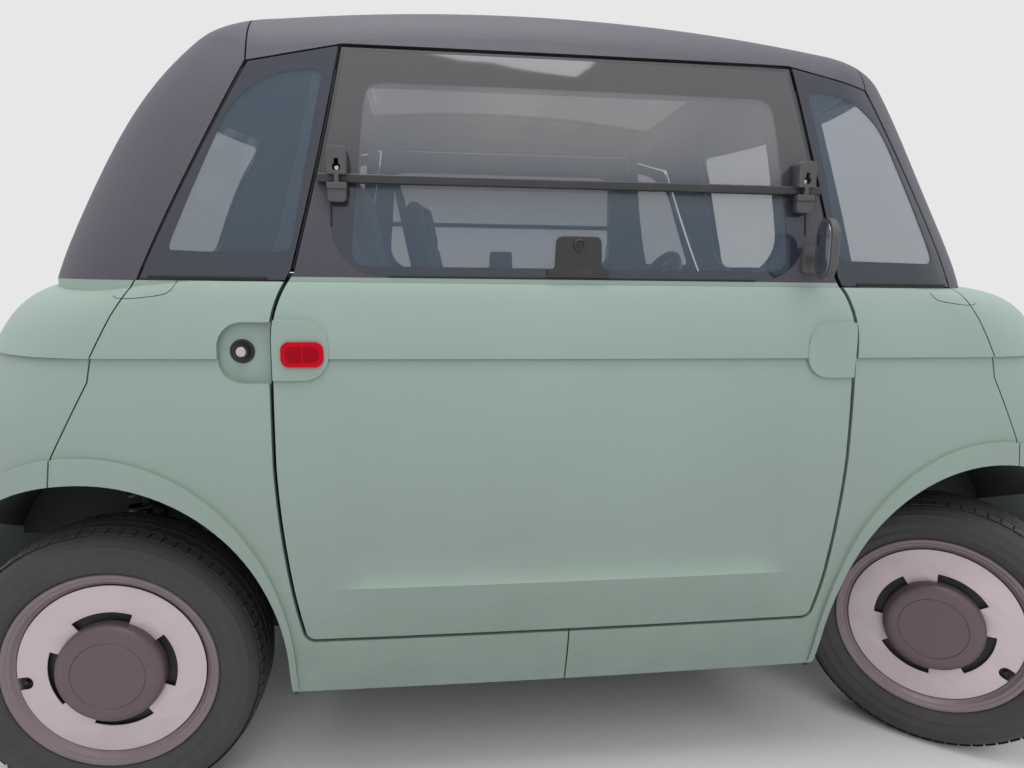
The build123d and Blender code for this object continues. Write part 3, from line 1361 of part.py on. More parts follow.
# Mirror of each door: thin round-edged head turned to the driver, arm, and foot on the frame
turn = radians(MIRROR_TURN)
head_plane = Plane(origin=(MIRROR_X, -MIRROR_Y, MIRROR_Z), x_dir=(sin(turn), cos(turn), 0),
                   z_dir=(cos(turn), -sin(turn), 0))
with BuildPart() as mirror_right:
    with BuildSketch(head_plane.offset(-MIRROR_DEPTH / 2)):
        RectangleRounded(MIRROR_WIDTH, MIRROR_HEIGHT, MIRROR_CORNER)
    extrude(amount=MIRROR_DEPTH)
    front_face = mirror_right.faces().sort_by(Axis.X)[-1]
    fillet(front_face.edges(), MIRROR_ROUND)
    with Locations((MIRROR_ARM_X, -MIRROR_FOOT_Y + PANEL / 2, MIRROR_FOOT_Z)):
        Box(MIRROR_ARM, MIRROR_Y - MIRROR_FOOT_Y, MIRROR_ARM,
            align=(Align.CENTER, Align.MAX, Align.CENTER))
    foot = rounded_box(MIRROR_FOOT_X, MIRROR_FOOT_Z, MIRROR_FOOT_LENGTH, MIRROR_FOOT_HEIGHT,
                       MIRROR_ARM / 2)
    add(outside(side_prism(foot, half_width / 2, MIRROR_FOOT_Y), -SEAT))
write(mirror_right.part.mirror(Plane.XZ), "mirror_left")
write(mirror_right.part, "mirror_right")

# Wiper: spindle on the cowl, arm, and a blade along the foot of the windscreen
with BuildPart() as wiper:
    strip = polygon((0, WIPER_Z), (HIGH, WIPER_Z), (HIGH, WIPER_Z + WIPER_HEIGHT),
                    (0, WIPER_Z + WIPER_HEIGHT))
    add(skin(across(strip), -WIPER_HEIGHT, -SEAT))
    with Locations((0, WIPER_Y, 0)):
        Box(2 * HIGH, WIPER_LENGTH, 2 * HIGH, mode=Mode.INTERSECT)
    with Locations((0, 0, 0)):
        Box(HIGH, 2 * HIGH, 2 * HIGH, align=(Align.MIN, Align.CENTER, Align.CENTER),
            mode=Mode.INTERSECT)
    with BuildSketch(Plane.XY.offset(BELT_Z)):
        with Locations((WIPER_X, 0)):
            Circle(WIPER_HEIGHT)
    extrude(amount=WIPER_Z - BELT_Z + WIPER_HEIGHT)
    add(whole_body(-SEAT), mode=Mode.SUBTRACT)
write(wiper.part, "wiper")
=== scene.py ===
"""Looks of a two-seat microcar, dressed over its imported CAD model."""

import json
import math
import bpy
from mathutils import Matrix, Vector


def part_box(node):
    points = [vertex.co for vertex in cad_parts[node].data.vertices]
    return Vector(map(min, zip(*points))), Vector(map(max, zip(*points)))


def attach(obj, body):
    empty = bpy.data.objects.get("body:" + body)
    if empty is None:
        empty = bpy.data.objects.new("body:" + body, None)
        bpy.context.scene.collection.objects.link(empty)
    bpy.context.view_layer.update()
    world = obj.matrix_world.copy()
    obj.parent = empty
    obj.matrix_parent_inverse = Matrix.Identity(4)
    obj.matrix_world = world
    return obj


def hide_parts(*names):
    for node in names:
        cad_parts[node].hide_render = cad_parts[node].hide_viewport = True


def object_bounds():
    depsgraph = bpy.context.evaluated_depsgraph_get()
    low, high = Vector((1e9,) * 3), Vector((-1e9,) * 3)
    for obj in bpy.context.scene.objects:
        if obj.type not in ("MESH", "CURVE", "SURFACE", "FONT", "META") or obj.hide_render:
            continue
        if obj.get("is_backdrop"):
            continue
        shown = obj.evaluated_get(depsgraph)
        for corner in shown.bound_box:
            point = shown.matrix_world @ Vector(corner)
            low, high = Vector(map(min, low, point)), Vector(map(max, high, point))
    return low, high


bl_info = {
    "name": "Microcar dressing",
    "version": (1, 0, 0),
    "blender": (4, 5, 0),
    "location": "View3D > Sidebar > Microcar",
    "description": "Paint, glass, wheels, seats, lamps and trim of a two-seat microcar",
    "category": "Object",
}

import bmesh
import bpy
import numpy as np
from bpy.props import FloatProperty, FloatVectorProperty, IntProperty, PointerProperty
from mathutils import Matrix, Vector
from mathutils.bvhtree import BVHTree

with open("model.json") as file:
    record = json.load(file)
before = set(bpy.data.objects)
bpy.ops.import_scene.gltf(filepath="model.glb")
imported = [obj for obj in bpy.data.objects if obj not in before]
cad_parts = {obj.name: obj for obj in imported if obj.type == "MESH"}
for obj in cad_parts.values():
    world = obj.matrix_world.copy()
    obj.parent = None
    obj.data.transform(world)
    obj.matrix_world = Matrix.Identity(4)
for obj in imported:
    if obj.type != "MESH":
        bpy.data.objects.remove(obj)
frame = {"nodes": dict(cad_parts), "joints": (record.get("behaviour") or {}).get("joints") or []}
CAD_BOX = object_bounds()
NODES = frame["nodes"]

# Places taken from the CAD model, in metres
RIM_FACE = 0.6255
TYRE_MIDDLE = 0.562
BELT_Z = 1.0205
BAR_Z = 1.187
WINDOW_CLEAR = ((-0.400, 1.039), (0.400, 1.039), (0.373, 1.357), (-0.373, 1.357))
FLAP_HALF = 0.430
FLAP_BOTTOM = 1.023
FLAP_CORNER = 0.085
REFLECTOR_X = 0.480
REFLECTOR_Z = 0.890
REFLECTOR_HALF = (0.0355, 0.0215)
BLOCK_X = 0.418
BLOCK_TOP = 1.238
BLOCK_FACE = 0.678
BAR_FACE = 0.667
LATCH_FACE = 0.677
LATCH_KNOB_Z = 1.082
# Heights over which a painted sky reflection lightens the door glass
PAINTED_REFLECTION_HEIGHTS = (1.10, 1.30)
CREASE_Z = 0.458
CREASE_ENDS = (0.360, 0.445)
CREASE_ROLL = 0.022
CREASE_SWELL = 0.0125
CREASE_FALL = 0.10
# Darkening low on the body, partly road dust and partly painted shade
DUST_AND_SHADE_HEIGHTS = (0.20, 0.95)
DUST_AND_SHADE_COLOUR = (0.095, 0.092, 0.075)
SHARP = 0.0006
PIN_X = 0.472
POCKETS = ((0.4565, 0.5035), (0.7760, 0.8240))
LOCK_PLACE = (0.584, 0.672, 0.893)
MIRROR_HEAD = (0.430, 0.741, 1.080)
MIRROR_TURN = 10.0
CAP_LINE = ((0.688, 1.0115), (0.691, 1.003), (0.696, 0.996), (0.704, 0.990), (0.722, 0.986),
            (0.745, 0.983), (0.768, 0.981), (0.785, 0.982), (0.791, 0.985))
PANE_GAPS = ((1.035, 0.4960, 0.7418), (1.080, 0.4843, 0.7205), (1.130, 0.4721, 0.6968),
             (1.180, 0.4607, 0.6731), (1.230, 0.4501, 0.6493), (1.280, 0.4404, 0.6256),
             (1.330, 0.4314, 0.6018), (1.360, 0.4264, 0.5876), (1.375, 0.4240, 0.5805))
GAP_DEPTH = 0.0055
COVER_RADIUS = 0.1694
COVER_DEPTH = -0.0105
COVER_THICKNESS = 0.0026
CAP_HOLE = 0.0960
SLOT_RADII = (0.0980, 0.1165)
SLOT_HALF_ANGLE = 28
NOTCH_MIDDLE = 0.1565
NOTCH_HALF = 0.0125
VALVE_PLACE = (0.1570, 0, -0.0080)
CAP_TURNS = {"front_right": 63, "front_left": 20, "rear_right": 7, "rear_left": 40}
NOTCH_TURNS = {"front_right": -27, "front_left": 200, "rear_right": 187, "rear_left": 130}
LAMP_OVAL = {"head": 0.100 / 0.084, "tail": 0.095 / 0.075}
SPRING_TURNS = 5.5
SPRING_STEPS = 26
SPRING_WIRE = 0.0062

# How the seat cushions are cut, filled and sewn
PAD_ROUNDING = 0.016
PAD_SHARE = 0.975
PAD_CELL = 0.0075
FILL_FRAMES = 20
CHANNELS = (0.22, 0.41, 0.60, 0.79)
CHANNEL_WIDTH = 0.006
SEAM_WIDTH = 0.005
CHANNEL_DEPTH = 0.0055
PANEL_SHARE = 0.80

# The photograph's camera, and the lamps over and round the car
CAMERA_TURN = (-0.12140, 0.16504, 0.013513)
CAMERA_PLACE = (-0.26810, -1.91669, 1.0415)
CAMERA_LENS = 24.621
CAMERA_SENSOR = 36.0
LAMP_AIM = (0, 0, 0.7)
END_SHARE = 0.7
FLOOR_HALF = 40

QUARTER_CLEAR = ((0.534, 1.367), (0.445, 1.380), (0.499, 1.062), (0.705, 1.058), (0.598, 1.315))
CORNERS = {"front_right": -1, "front_left": 1, "rear_right": -1, "rear_left": 1}


class PaintSettings(bpy.types.PropertyGroup):
    """Colours of the body, the roof and the glass."""

    body: FloatVectorProperty(
        name="Body plastic", description="Colour of the moulded body panels",
        subtype="COLOR", size=3, min=0, max=1, default=(0.283, 0.368, 0.325))
    trim: FloatVectorProperty(
        name="Roof plastic", description="Colour of the roof, the pillars and the door tops",
        subtype="COLOR", size=3, min=0, max=1, default=(0.074, 0.070, 0.089))
    glass: FloatVectorProperty(
        name="Glass tint", description="Colour that the side and roof glass adds",
        subtype="COLOR", size=3, min=0, max=1, default=(0.095, 0.135, 0.185))
    glass_cover: FloatProperty(
        name="Glass strength", description="Share of light that the tinted glass holds back",
        subtype="FACTOR", min=0, max=1, default=0.36)
    # Scales the darkening low on the body, which is partly road dust and partly painted shade
    dust: FloatProperty(
        name="Road dust", description="How much dust lies on the sills and lower panels",
        subtype="FACTOR", min=0, max=1, default=0.45)


class WheelSettings(bpy.types.PropertyGroup):
    """Sizes and colours of the tyres and wheel covers."""

    pitches: IntProperty(
        name="Tread pitches", description="Number of tread blocks round a tyre",
        min=24, max=120, default=70)
    groove: FloatProperty(
        name="Groove depth", description="Depth of the tread grooves",
        unit="LENGTH", min=0.001, max=0.01, default=0.0065)
    cover: FloatVectorProperty(
        name="Cover", description="Colour of the wheel cover",
        subtype="COLOR", size=3, min=0, max=1, default=(0.600, 0.500, 0.520))
    cap: FloatVectorProperty(
        name="Centre cap", description="Colour of the cap in the middle of the cover",
        subtype="COLOR", size=3, min=0, max=1, default=(0.133, 0.093, 0.107))


class CabinSettings(bpy.types.PropertyGroup):
    """Colours and padding of the seats."""

    fabric: FloatVectorProperty(
        name="Seat cloth", description="Colour of the seat covers",
        subtype="COLOR", size=3, min=0, max=1, default=(0.060, 0.066, 0.078))
    pressure: FloatProperty(
        name="Filling pressure", description="How hard the cushions are filled",
        min=0, max=20, default=4)
    swell: FloatProperty(
        name="Greatest swell", description="How far any point of a cushion may move as it fills",
        unit="LENGTH", min=0, max=0.05, default=0.014)


class StageSettings(bpy.types.PropertyGroup):
    """Floor and light of the studio."""

    floor: FloatVectorProperty(
        name="Floor", description="Colour of the floor and the background",
        subtype="COLOR", size=3, min=0, max=1, default=(0.80, 0.80, 0.80))
    sky: FloatProperty(
        name="Sky light", description="Strength of the even light from all round",
        min=0, max=3, default=0.225)
    key: FloatProperty(
        name="Key light", description="Power of the large lamp over the car",
        unit="POWER", min=0, max=2000, default=135)
    fill: FloatProperty(
        name="Side light", description="Power of each large lamp beside the car",
        unit="POWER", min=0, max=2000, default=148)


class Flow:
    """One socket of a material, which sums and products read as a number."""

    def __init__(self, finish, socket):
        self.finish = finish
        self.socket = socket

    def maths(self, operation, first, second=0.0):
        vectors = [side for side in (first, second)
                   if isinstance(side, Flow) and side.socket.type == "VECTOR"]
        kind = "ShaderNodeVectorMath" if vectors else "ShaderNodeMath"
        return self.finish.node(kind, {"operation": operation}, {0: first, 1: second})

    def __add__(self, other):
        return self.maths("ADD", self, other)

    def __radd__(self, other):
        return self.maths("ADD", other, self)

    def __sub__(self, other):
        return self.maths("SUBTRACT", self, other)

    def __rsub__(self, other):
        return self.maths("SUBTRACT", other, self)

    def __mul__(self, other):
        return self.maths("MULTIPLY", self, other)

    def __rmul__(self, other):
        return self.maths("MULTIPLY", other, self)

    def __truediv__(self, other):
        return self.maths("DIVIDE", self, other)

    def __pow__(self, other):
        return self.maths("POWER", self, other)

    def __abs__(self):
        return self.maths("ABSOLUTE", self)

    def __gt__(self, other):
        return self.maths("GREATER_THAN", self, other)

    def fade(self, start, end):
        """0 below start, 1 above end, and a soft step between."""
        return self.finish.node(
            "ShaderNodeMapRange", {"interpolation_type": "SMOOTHSTEP"},
            {"Value": self, "From Min": start, "From Max": end, "To Min": 0.0, "To Max": 1.0})


class Finish:
    """A material that is being written: its nodes and its one surface."""

    def __init__(self, name):
        self.material = bpy.data.materials.new(name)
        self.material.use_nodes = True
        self.tree = self.material.node_tree
        self.tree.nodes.clear()
        self.output = self.tree.nodes.new("ShaderNodeOutputMaterial")
        self.place = self.node("ShaderNodeTexCoord", output="Object")

    def node(self, kind, settings=None, inputs=None, output=0):
        """Add a node: its settings first, then the values or links of its sockets."""
        made = self.tree.nodes.new(kind)
        for key, value in (settings or {}).items():
            setattr(made, key, value)
        for key, value in (inputs or {}).items():
            self.feed(made.inputs[key], value)
        return Flow(self, made.outputs[output])

    def feed(self, socket, value):
        if isinstance(value, Flow):
            self.tree.links.new(value.socket, socket)
        elif socket.type == "RGBA" and len(value) == 3:
            socket.default_value = (*value, 1.0)
        else:
            socket.default_value = value

    def axes(self):
        """The three parts of the place on the piece."""
        split = self.node("ShaderNodeSeparateXYZ", inputs={0: self.place})
        outputs = split.socket.node.outputs
        return [Flow(self, outputs[index]) for index in range(3)]

    def noise(self, scale, detail, rough):
        return self.node("ShaderNodeTexNoise", inputs={
            "Vector": self.place, "Scale": scale, "Detail": detail, "Roughness": rough})

    def cells(self, scale):
        return self.node("ShaderNodeTexVoronoi", inputs={"Vector": self.place, "Scale": scale})

    def mix(self, factor, first, second):
        return self.node("ShaderNodeMix", {"data_type": "RGBA"},
                         {0: factor, 6: first, 7: second}, output=2)

    def bigger(self, first, second, rounding=0.0):
        kind = {"operation": "SMOOTH_MAX" if rounding else "MAXIMUM"}
        inputs = {0: first, 1: second}
        if rounding:
            inputs[2] = rounding
        return self.node("ShaderNodeMath", kind, inputs)

    def outside_of(self, points, across, up, rounding):
        """Distance outside a convex outline, below zero inside it, with softened corners."""
        middle = (sum(point[0] for point in points) / len(points),
                  sum(point[1] for point in points) / len(points))
        result = None
        for start, end in zip(points, points[1:] + points[:1]):
            run = (end[0] - start[0], end[1] - start[1])
            size = math.hypot(*run)
            normal = (run[1] / size, -run[0] / size)
            if (middle[0] - start[0]) * normal[0] + (middle[1] - start[1]) * normal[1] > 0:
                normal = (-normal[0], -normal[1])
            level = normal[0] * start[0] + normal[1] * start[1]
            edge = across * normal[0] + up * normal[1] - level
            result = edge if result is None else self.bigger(result, edge, rounding)
        return result

    def surface(self, colour, roughness, height=None, depth=0.0, **fixed):
        """Close the material with one principled surface, with bump where it has a height."""
        inputs = {"Base Color": colour, "Roughness": roughness}
        inputs.update({key.replace("_", " "): value for key, value in fixed.items()})
        if height is not None:
            inputs["Normal"] = self.node("ShaderNodeBump", inputs={
                "Strength": 1.0, "Distance": depth, "Height": height})
        shader = self.node("ShaderNodeBsdfPrincipled", inputs=inputs)
        self.tree.links.new(shader.socket, self.output.inputs["Surface"])
        return self.material


def mm(*points):
    """Points given in millimetres, in metres."""
    return [tuple(value / 1000 for value in point) for point in points]


def shade(colour, factor):
    return tuple(channel * factor for channel in colour)


def body_tone(finish, settings, up):
    """The faintly cloudy body colour, darkened towards the foot partly by road dust and partly by
    painted shade.
    """
    cloud = finish.noise(2.3, 4.0, 0.6).fade(0.25, 0.8)
    colour = finish.mix(cloud, shade(settings.body, 0.965), shade(settings.body, 1.03))
    patch = finish.noise(9.0, 5.0, 0.65)
    # The veil is partly road dust and partly painted shade: the body colour darkens from 0.95 m
    # down to the foot.
    dust_and_shade_veil = ((1.0 - up.fade(*DUST_AND_SHADE_HEIGHTS)) * (patch.fade(0.30, 0.75) * 0.25 + 0.52)
            * settings.dust)
    return finish.mix(dust_and_shade_veil, colour, DUST_AND_SHADE_COLOUR)


def moulded_body(settings):
    """Satin through-dyed plastic with a fine grain."""
    finish = Finish("moulded_body")
    up = finish.axes()[2]
    colour = body_tone(finish, settings, up)
    grain = finish.noise(900.0, 3.0, 0.6)
    rough = 0.46 + grain * 0.10 + (1.0 - up.fade(0.2, 0.5)) * 0.1
    return finish.surface(colour, rough, grain, 0.00012, Specular_IOR_Level=0.42)


def grained_trim(settings):
    """Anthracite plastic with a leathery grain that catches the light."""
    finish = Finish("grained_trim")
    fleck = finish.noise(620.0, 3.0, 0.7)
    cloud = finish.noise(3.0, 3.0, 0.6)
    colour = finish.mix(fleck.fade(0.35, 0.7), shade(settings.trim, 0.82),
                        shade(settings.trim, 1.22))
    colour = finish.mix(cloud.fade(0.4, 0.75) * 0.25, colour, (0.090, 0.083, 0.090))
    height = finish.cells(520.0) * 0.6 + fleck * 0.5
    return finish.surface(colour, 0.50 + fleck * 0.14, height, 0.00035, Specular_IOR_Level=0.5)


def door_skin(settings):
    """Door in the body colour below the belt and trim above it, with a crease low on it and a
    painted highlight just above the crease.
    """
    finish = Finish("door_skin")
    along, aside, up = finish.axes()
    grain = finish.noise(900.0, 3.0, 0.6)
    fleck = finish.noise(620.0, 3.0, 0.7)
    body = body_tone(finish, settings, up)
    trim = finish.mix(fleck.fade(0.35, 0.7), shade(settings.trim, 0.76), shade(settings.trim, 1.02))
    top = up.fade(BELT_Z - SHARP, BELT_Z + SHARP)
    inner = 1.0 - abs(aside).fade(0.640, 0.652)
    colour = finish.mix(top, body, trim)
    colour = finish.mix(inner, colour, (0.045, 0.046, 0.050))
    above = finish.bigger(up - CREASE_Z, 0.0)
    below = finish.bigger(CREASE_Z - up, 0.0)
    roll = above.maths("EXPONENT", above * -1.0 / CREASE_ROLL)
    reach = (1.0 - abs(along).fade(*CREASE_ENDS)) * (1.0 - inner)
    crease = ((1.0 - roll) * CREASE_SWELL + below * CREASE_FALL) * reach
    # Painted highlight: a lighter band of the body colour just above the crease, fading upwards.
    painted_crease_highlight = roll * (up > CREASE_Z) * reach * 0.55
    colour = finish.mix(painted_crease_highlight, colour, shade(settings.body, 1.35))
    depth = 0.00014
    return finish.surface(colour, 0.46 + grain * 0.1 + top * 0.06,
                          grain + top * fleck * 1.5 - crease / depth,
                          depth, Specular_IOR_Level=0.45)


def tinted_glass(name, settings, points, plane, rounding, cover=None, painted_reflection_share=0.0):
    """Tinted pane with a black printed border outside an outline, a breath of film, and a painted
    sky reflection that lightens the pane and its border towards the top.
    """
    finish = Finish(name)
    axes = finish.axes()
    across, up = (axes["xyz".index(letter)] for letter in plane)
    edge = finish.outside_of(list(points), abs(across), up, rounding)
    border = edge.fade(-SHARP, SHARP)
    film = finish.noise(2.6, 3.0, 0.55).fade(0.30, 0.75)
    # Painted sky reflection: pane and border turn lighter, greyer and less clear from the lower to
    # the upper height.
    painted_reflection = axes[2].fade(*PAINTED_REFLECTION_HEIGHTS) * painted_reflection_share
    printed = finish.mix(painted_reflection, (0.026, 0.030, 0.046), (0.072, 0.066, 0.072))
    pane = finish.mix(painted_reflection * (film * 0.45 + 0.55), settings.glass, (0.310, 0.290, 0.285))
    colour = finish.mix(border, pane, printed)
    clear = settings.glass_cover if cover is None else cover
    alpha = finish.bigger(border, clear + painted_reflection * 0.14)
    return finish.surface(colour, 0.04 + film * 0.03, Alpha=alpha, Specular_IOR_Level=0.75)


def soft_black(name, tone, rough, grain_scale=700.0, depth=0.00015):
    """Fine-grained black plastic or rubber."""
    finish = Finish(name)
    grain = finish.noise(grain_scale, 3.0, 0.65)
    wear = finish.noise(22.0, 4.0, 0.7).fade(0.5, 0.85)
    colour = finish.mix(wear * 0.5, (tone, tone, tone * 1.06), (tone * 2.2, tone * 2.1, tone * 2.1))
    return finish.surface(colour, rough + grain * 0.12, grain, depth)


def painted_steel(name, colour, rough, wear_colour=(0.16, 0.12, 0.09)):
    """Thick black coat on steel, with orange peel and a little road film."""
    finish = Finish(name)
    peel = finish.noise(260.0, 2.0, 0.5)
    film = finish.noise(16.0, 5.0, 0.7).fade(0.52, 0.8)
    tone = finish.mix(film * 0.45, colour, wear_colour)
    return finish.surface(tone, rough + film * 0.2, peel, 0.0002, Metallic=0.0)


def cast_metal(name, colour, rough):
    """Sand-cast light alloy."""
    finish = Finish(name)
    sand = finish.noise(420.0, 4.0, 0.75)
    stain = finish.noise(18.0, 4.0, 0.7).fade(0.4, 0.8)
    tone = finish.mix(stain * 0.5, colour, shade(colour, 0.55))
    return finish.surface(tone, rough + sand * 0.15, sand, 0.0006, Metallic=0.75)


def wheel_metal(name, colour, metallic, rough, dust):
    """Satin metallic lacquer with fine flake and brake dust towards the rim."""
    finish = Finish(name)
    flake = finish.noise(1400.0, 2.0, 0.6)
    film = finish.noise(14.0, 4.0, 0.6).fade(0.38, 0.85)
    tone = finish.mix(flake.fade(0.3, 0.7), shade(colour, 0.95), shade(colour, 1.05))
    tone = finish.mix(film * dust, tone, (0.12, 0.105, 0.095))
    return finish.surface(tone, rough + film * 0.15, flake, 0.00004, Metallic=metallic)


def tyre_rubber():
    """Dusty black rubber, browner in patches."""
    finish = Finish("tyre_rubber")
    grit = finish.noise(260.0, 4.0, 0.7)
    film = finish.noise(11.0, 6.0, 0.7).fade(0.38, 0.78)
    tone = finish.mix(film * 0.65, (0.041, 0.039, 0.042), (0.076, 0.070, 0.070))
    tone = finish.mix(grit.fade(0.62, 0.8) * 0.3, tone, (0.088, 0.080, 0.077))
    return finish.surface(tone, 0.68 + film * 0.14, grit, 0.00045)


def seat_cloth(settings):
    """Plain weave: two crossed sets of threads, with a slight melange."""
    finish = Finish("seat_cloth")
    along, aside, up = finish.axes()
    pitch = 0.0022
    warp = ((aside / pitch) * math.tau).maths("SINE", (aside / pitch) * math.tau)
    weft_phase = (along * 0.75 - up * 0.9) / pitch * math.tau
    weft = weft_phase.maths("SINE", weft_phase)
    weave = warp * weft
    fleck = finish.noise(340.0, 3.0, 0.7)
    tone = finish.mix(weave.fade(-0.7, 0.8), shade(settings.fabric, 0.62),
                      shade(settings.fabric, 1.35))
    tone = finish.mix(fleck.fade(0.5, 0.75) * 0.4, tone, shade(settings.fabric, 2.1))
    return finish.surface(tone, 0.86, weave + fleck, 0.0004, Sheen_Weight=0.35)


def prism_lens(name, colour, pitch):
    """Moulded lens with a field of small prisms, its colour painted darker in the prism valleys and
    lighter on the ridges as shade and highlight.
    """
    finish = Finish(name)
    along, aside, up = finish.axes()
    across = along + aside
    rows = (up / pitch).maths("PINGPONG", up / pitch, 0.5)
    columns = (across / pitch).maths("PINGPONG", across / pitch, 0.5)
    prism = rows + columns
    # Painted shade and highlight: the colour follows the prism relief, dark in the valleys and
    # light on the ridges.
    glow = finish.mix(prism.fade(0.15, 0.9), shade(colour, 0.62), shade(colour, 1.25))
    return finish.surface(glow, 0.12, prism, 0.0008, Coat_Weight=0.6, Specular_IOR_Level=0.6)


def reflector_prisms(name, colour):
    """Moulded reflector: two fields of prisms, a seam between them and a smooth rim, the prisms
    painted darker in their valleys and the rim and seam painted lighter, as shade and highlight.
    """
    finish = Finish(name)
    along, _, up = finish.axes()
    across = abs(along) - REFLECTOR_X
    height = up - REFLECTOR_Z
    half_long, half_high = REFLECTOR_HALF
    rim = finish.outside_of([(-half_long, -half_high), (half_long, -half_high),
                             (half_long, half_high), (-half_long, half_high)],
                            across, height, 0.016).fade(-0.0085, -0.0070)
    seam = 1.0 - abs(across).fade(0.0008, 0.0016)
    pitch = 0.0031
    rows = (height / pitch).maths("PINGPONG", height / pitch, 0.5)
    columns = (across / pitch).maths("PINGPONG", across / pitch, 0.5)
    prism = (rows + columns) * (1.0 - rim)
    # Painted shade: the prism field darkens in the prism valleys.
    field = finish.mix(prism.fade(0.15, 0.9), shade(colour, 0.82), colour)
    # Painted highlight: the smooth rim and the seam are painted lighter than the prism field.
    tone = finish.mix(finish.bigger(rim, seam), field, shade(colour, 1.45))
    return finish.surface(tone, 0.42, prism, 0.0002, Specular_IOR_Level=0.10)


def bright_chrome(name, rough, colour=(0.72, 0.72, 0.74)):
    finish = Finish(name)
    smear = finish.noise(40.0, 3.0, 0.6)
    return finish.surface(finish.mix(smear * 0.2, colour, shade(colour, 0.8)),
                          rough + smear * 0.06, Metallic=1.0)


def add_object(name, data):
    piece = bpy.data.objects.new(name, data)
    bpy.context.scene.collection.objects.link(piece)
    return piece


def soften(shape, angle):
    """Smooth faces, with a hard edge where two of them meet at more than this many degrees."""
    for edge in shape.edges:
        if len(edge.link_faces) == 2 and edge.calc_face_angle(0.0) > math.radians(angle):
            edge.smooth = False
    for face in shape.faces:
        face.smooth = True


def make_piece(name, vertices, faces, material, smooth=40.0, outward=True):
    """A mesh object at the origin, with shared points merged and its faces turned outwards."""
    mesh = bpy.data.meshes.new(name)
    mesh.from_pydata([tuple(vertex) for vertex in vertices], [], [tuple(face) for face in faces])
    shape = bmesh.new()
    shape.from_mesh(mesh)
    bmesh.ops.remove_doubles(shape, verts=shape.verts, dist=0.000002)
    bmesh.ops.dissolve_degenerate(shape, dist=0.000001, edges=shape.edges)
    if outward:
        bmesh.ops.recalc_face_normals(shape, faces=shape.faces)
    soften(shape, smooth)
    shape.to_mesh(mesh)
    shape.free()
    mesh.materials.append(material)
    return add_object(name, mesh)


def place_mesh(piece, matrix):
    piece.data.transform(matrix)
    if matrix.determinant() < 0:
        piece.data.flip_normals()
    return piece


def facing_matrix(point, normal):
    """From a flat part's own frame to its place: y upwards and z the way it faces."""
    right = Vector((0, 0, 1)).cross(normal).normalized()
    matrix = Matrix((right, normal.cross(right), normal)).transposed().to_4x4()
    matrix.translation = point
    return matrix


def spun(section, steps, closed=True):
    """Points and faces of a section (radius, height) turned about local z."""
    vertices = []
    for step in range(steps):
        angle = math.tau * step / steps
        for radius, height in section:
            vertices.append((radius * math.cos(angle), radius * math.sin(angle), height))
    count = len(section)
    spans = count if closed else count - 1
    faces = []
    for step in range(steps):
        this, following = step * count, (step + 1) % steps * count
        for index in range(spans):
            beyond = (index + 1) % count
            faces.append((this + index, following + index, following + beyond, this + beyond))
    return vertices, faces


def finished(piece):
    """The plain mesh that a piece's modifiers give, in its place."""
    bpy.context.view_layer.update()
    source = piece.evaluated_get(bpy.context.evaluated_depsgraph_get())
    mesh = bpy.data.meshes.new_from_object(source)
    old = piece.data
    piece.modifiers.clear()
    piece.data = mesh
    bpy.data.meshes.remove(old)
    return piece


def corner_matrix(corner):
    """From a wheel's own frame, seen from outside, to its place: x right, y up, z outwards."""
    low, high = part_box(f"tyre_{corner}")
    joint = next(item for item in frame["joints"] if item["child"] == f"wheel_{corner}")
    return facing_matrix((low + high) / 2, Vector(joint["axis"]).normalized() * CORNERS[corner])


def turn(degrees):
    return Matrix.Rotation(math.radians(degrees), 4, "Z")


def lift(distance):
    return Matrix.Translation((0, 0, distance))


def new_tree(name, *sockets):
    """A geometry tree with named inputs: gives those, a node adder, and a way to close the tree."""
    tree = bpy.data.node_groups.new(name, "GeometryNodeTree")
    tree.interface.new_socket(name="Geometry", in_out="OUTPUT", socket_type="NodeSocketGeometry")
    for label, kind, default in (("Geometry", "Geometry", None), *sockets,
                                 ("Material", "Material", None)):
        socket = tree.interface.new_socket(
            name=label, in_out="INPUT", socket_type=f"NodeSocket{kind}")
        if default is not None:
            socket.default_value = default
    start = tree.nodes.new("NodeGroupInput")
    end = tree.nodes.new("NodeGroupOutput")

    def add(kind, settings=None, links=None):
        made = tree.nodes.new(kind)
        for key, value in (settings or {}).items():
            setattr(made, key, value)
        for key, value in (links or {}).items():
            if isinstance(value, bpy.types.NodeSocket):
                tree.links.new(value, made.inputs[key])
            else:
                made.inputs[key].default_value = value
        return made

    def close(shape):
        real = add("GeometryNodeRealizeInstances", links={"Geometry": shape})
        coated = add("GeometryNodeSetMaterial", links={
            "Geometry": real.outputs["Geometry"], "Material": start.outputs["Material"]})
        tree.links.new(coated.outputs["Geometry"], end.inputs["Geometry"])
        return tree

    return start.outputs, add, close


def set_inputs(piece, tree, values):
    """Put the tree on a piece with its inputs set by their identifiers."""
    modifier = piece.modifiers.new(tree.name, "NODES")
    modifier.node_group = tree
    for item in tree.interface.items_tree:
        if item.in_out == "INPUT" and item.name in values:
            modifier[item.identifier] = values[item.name]
    return piece


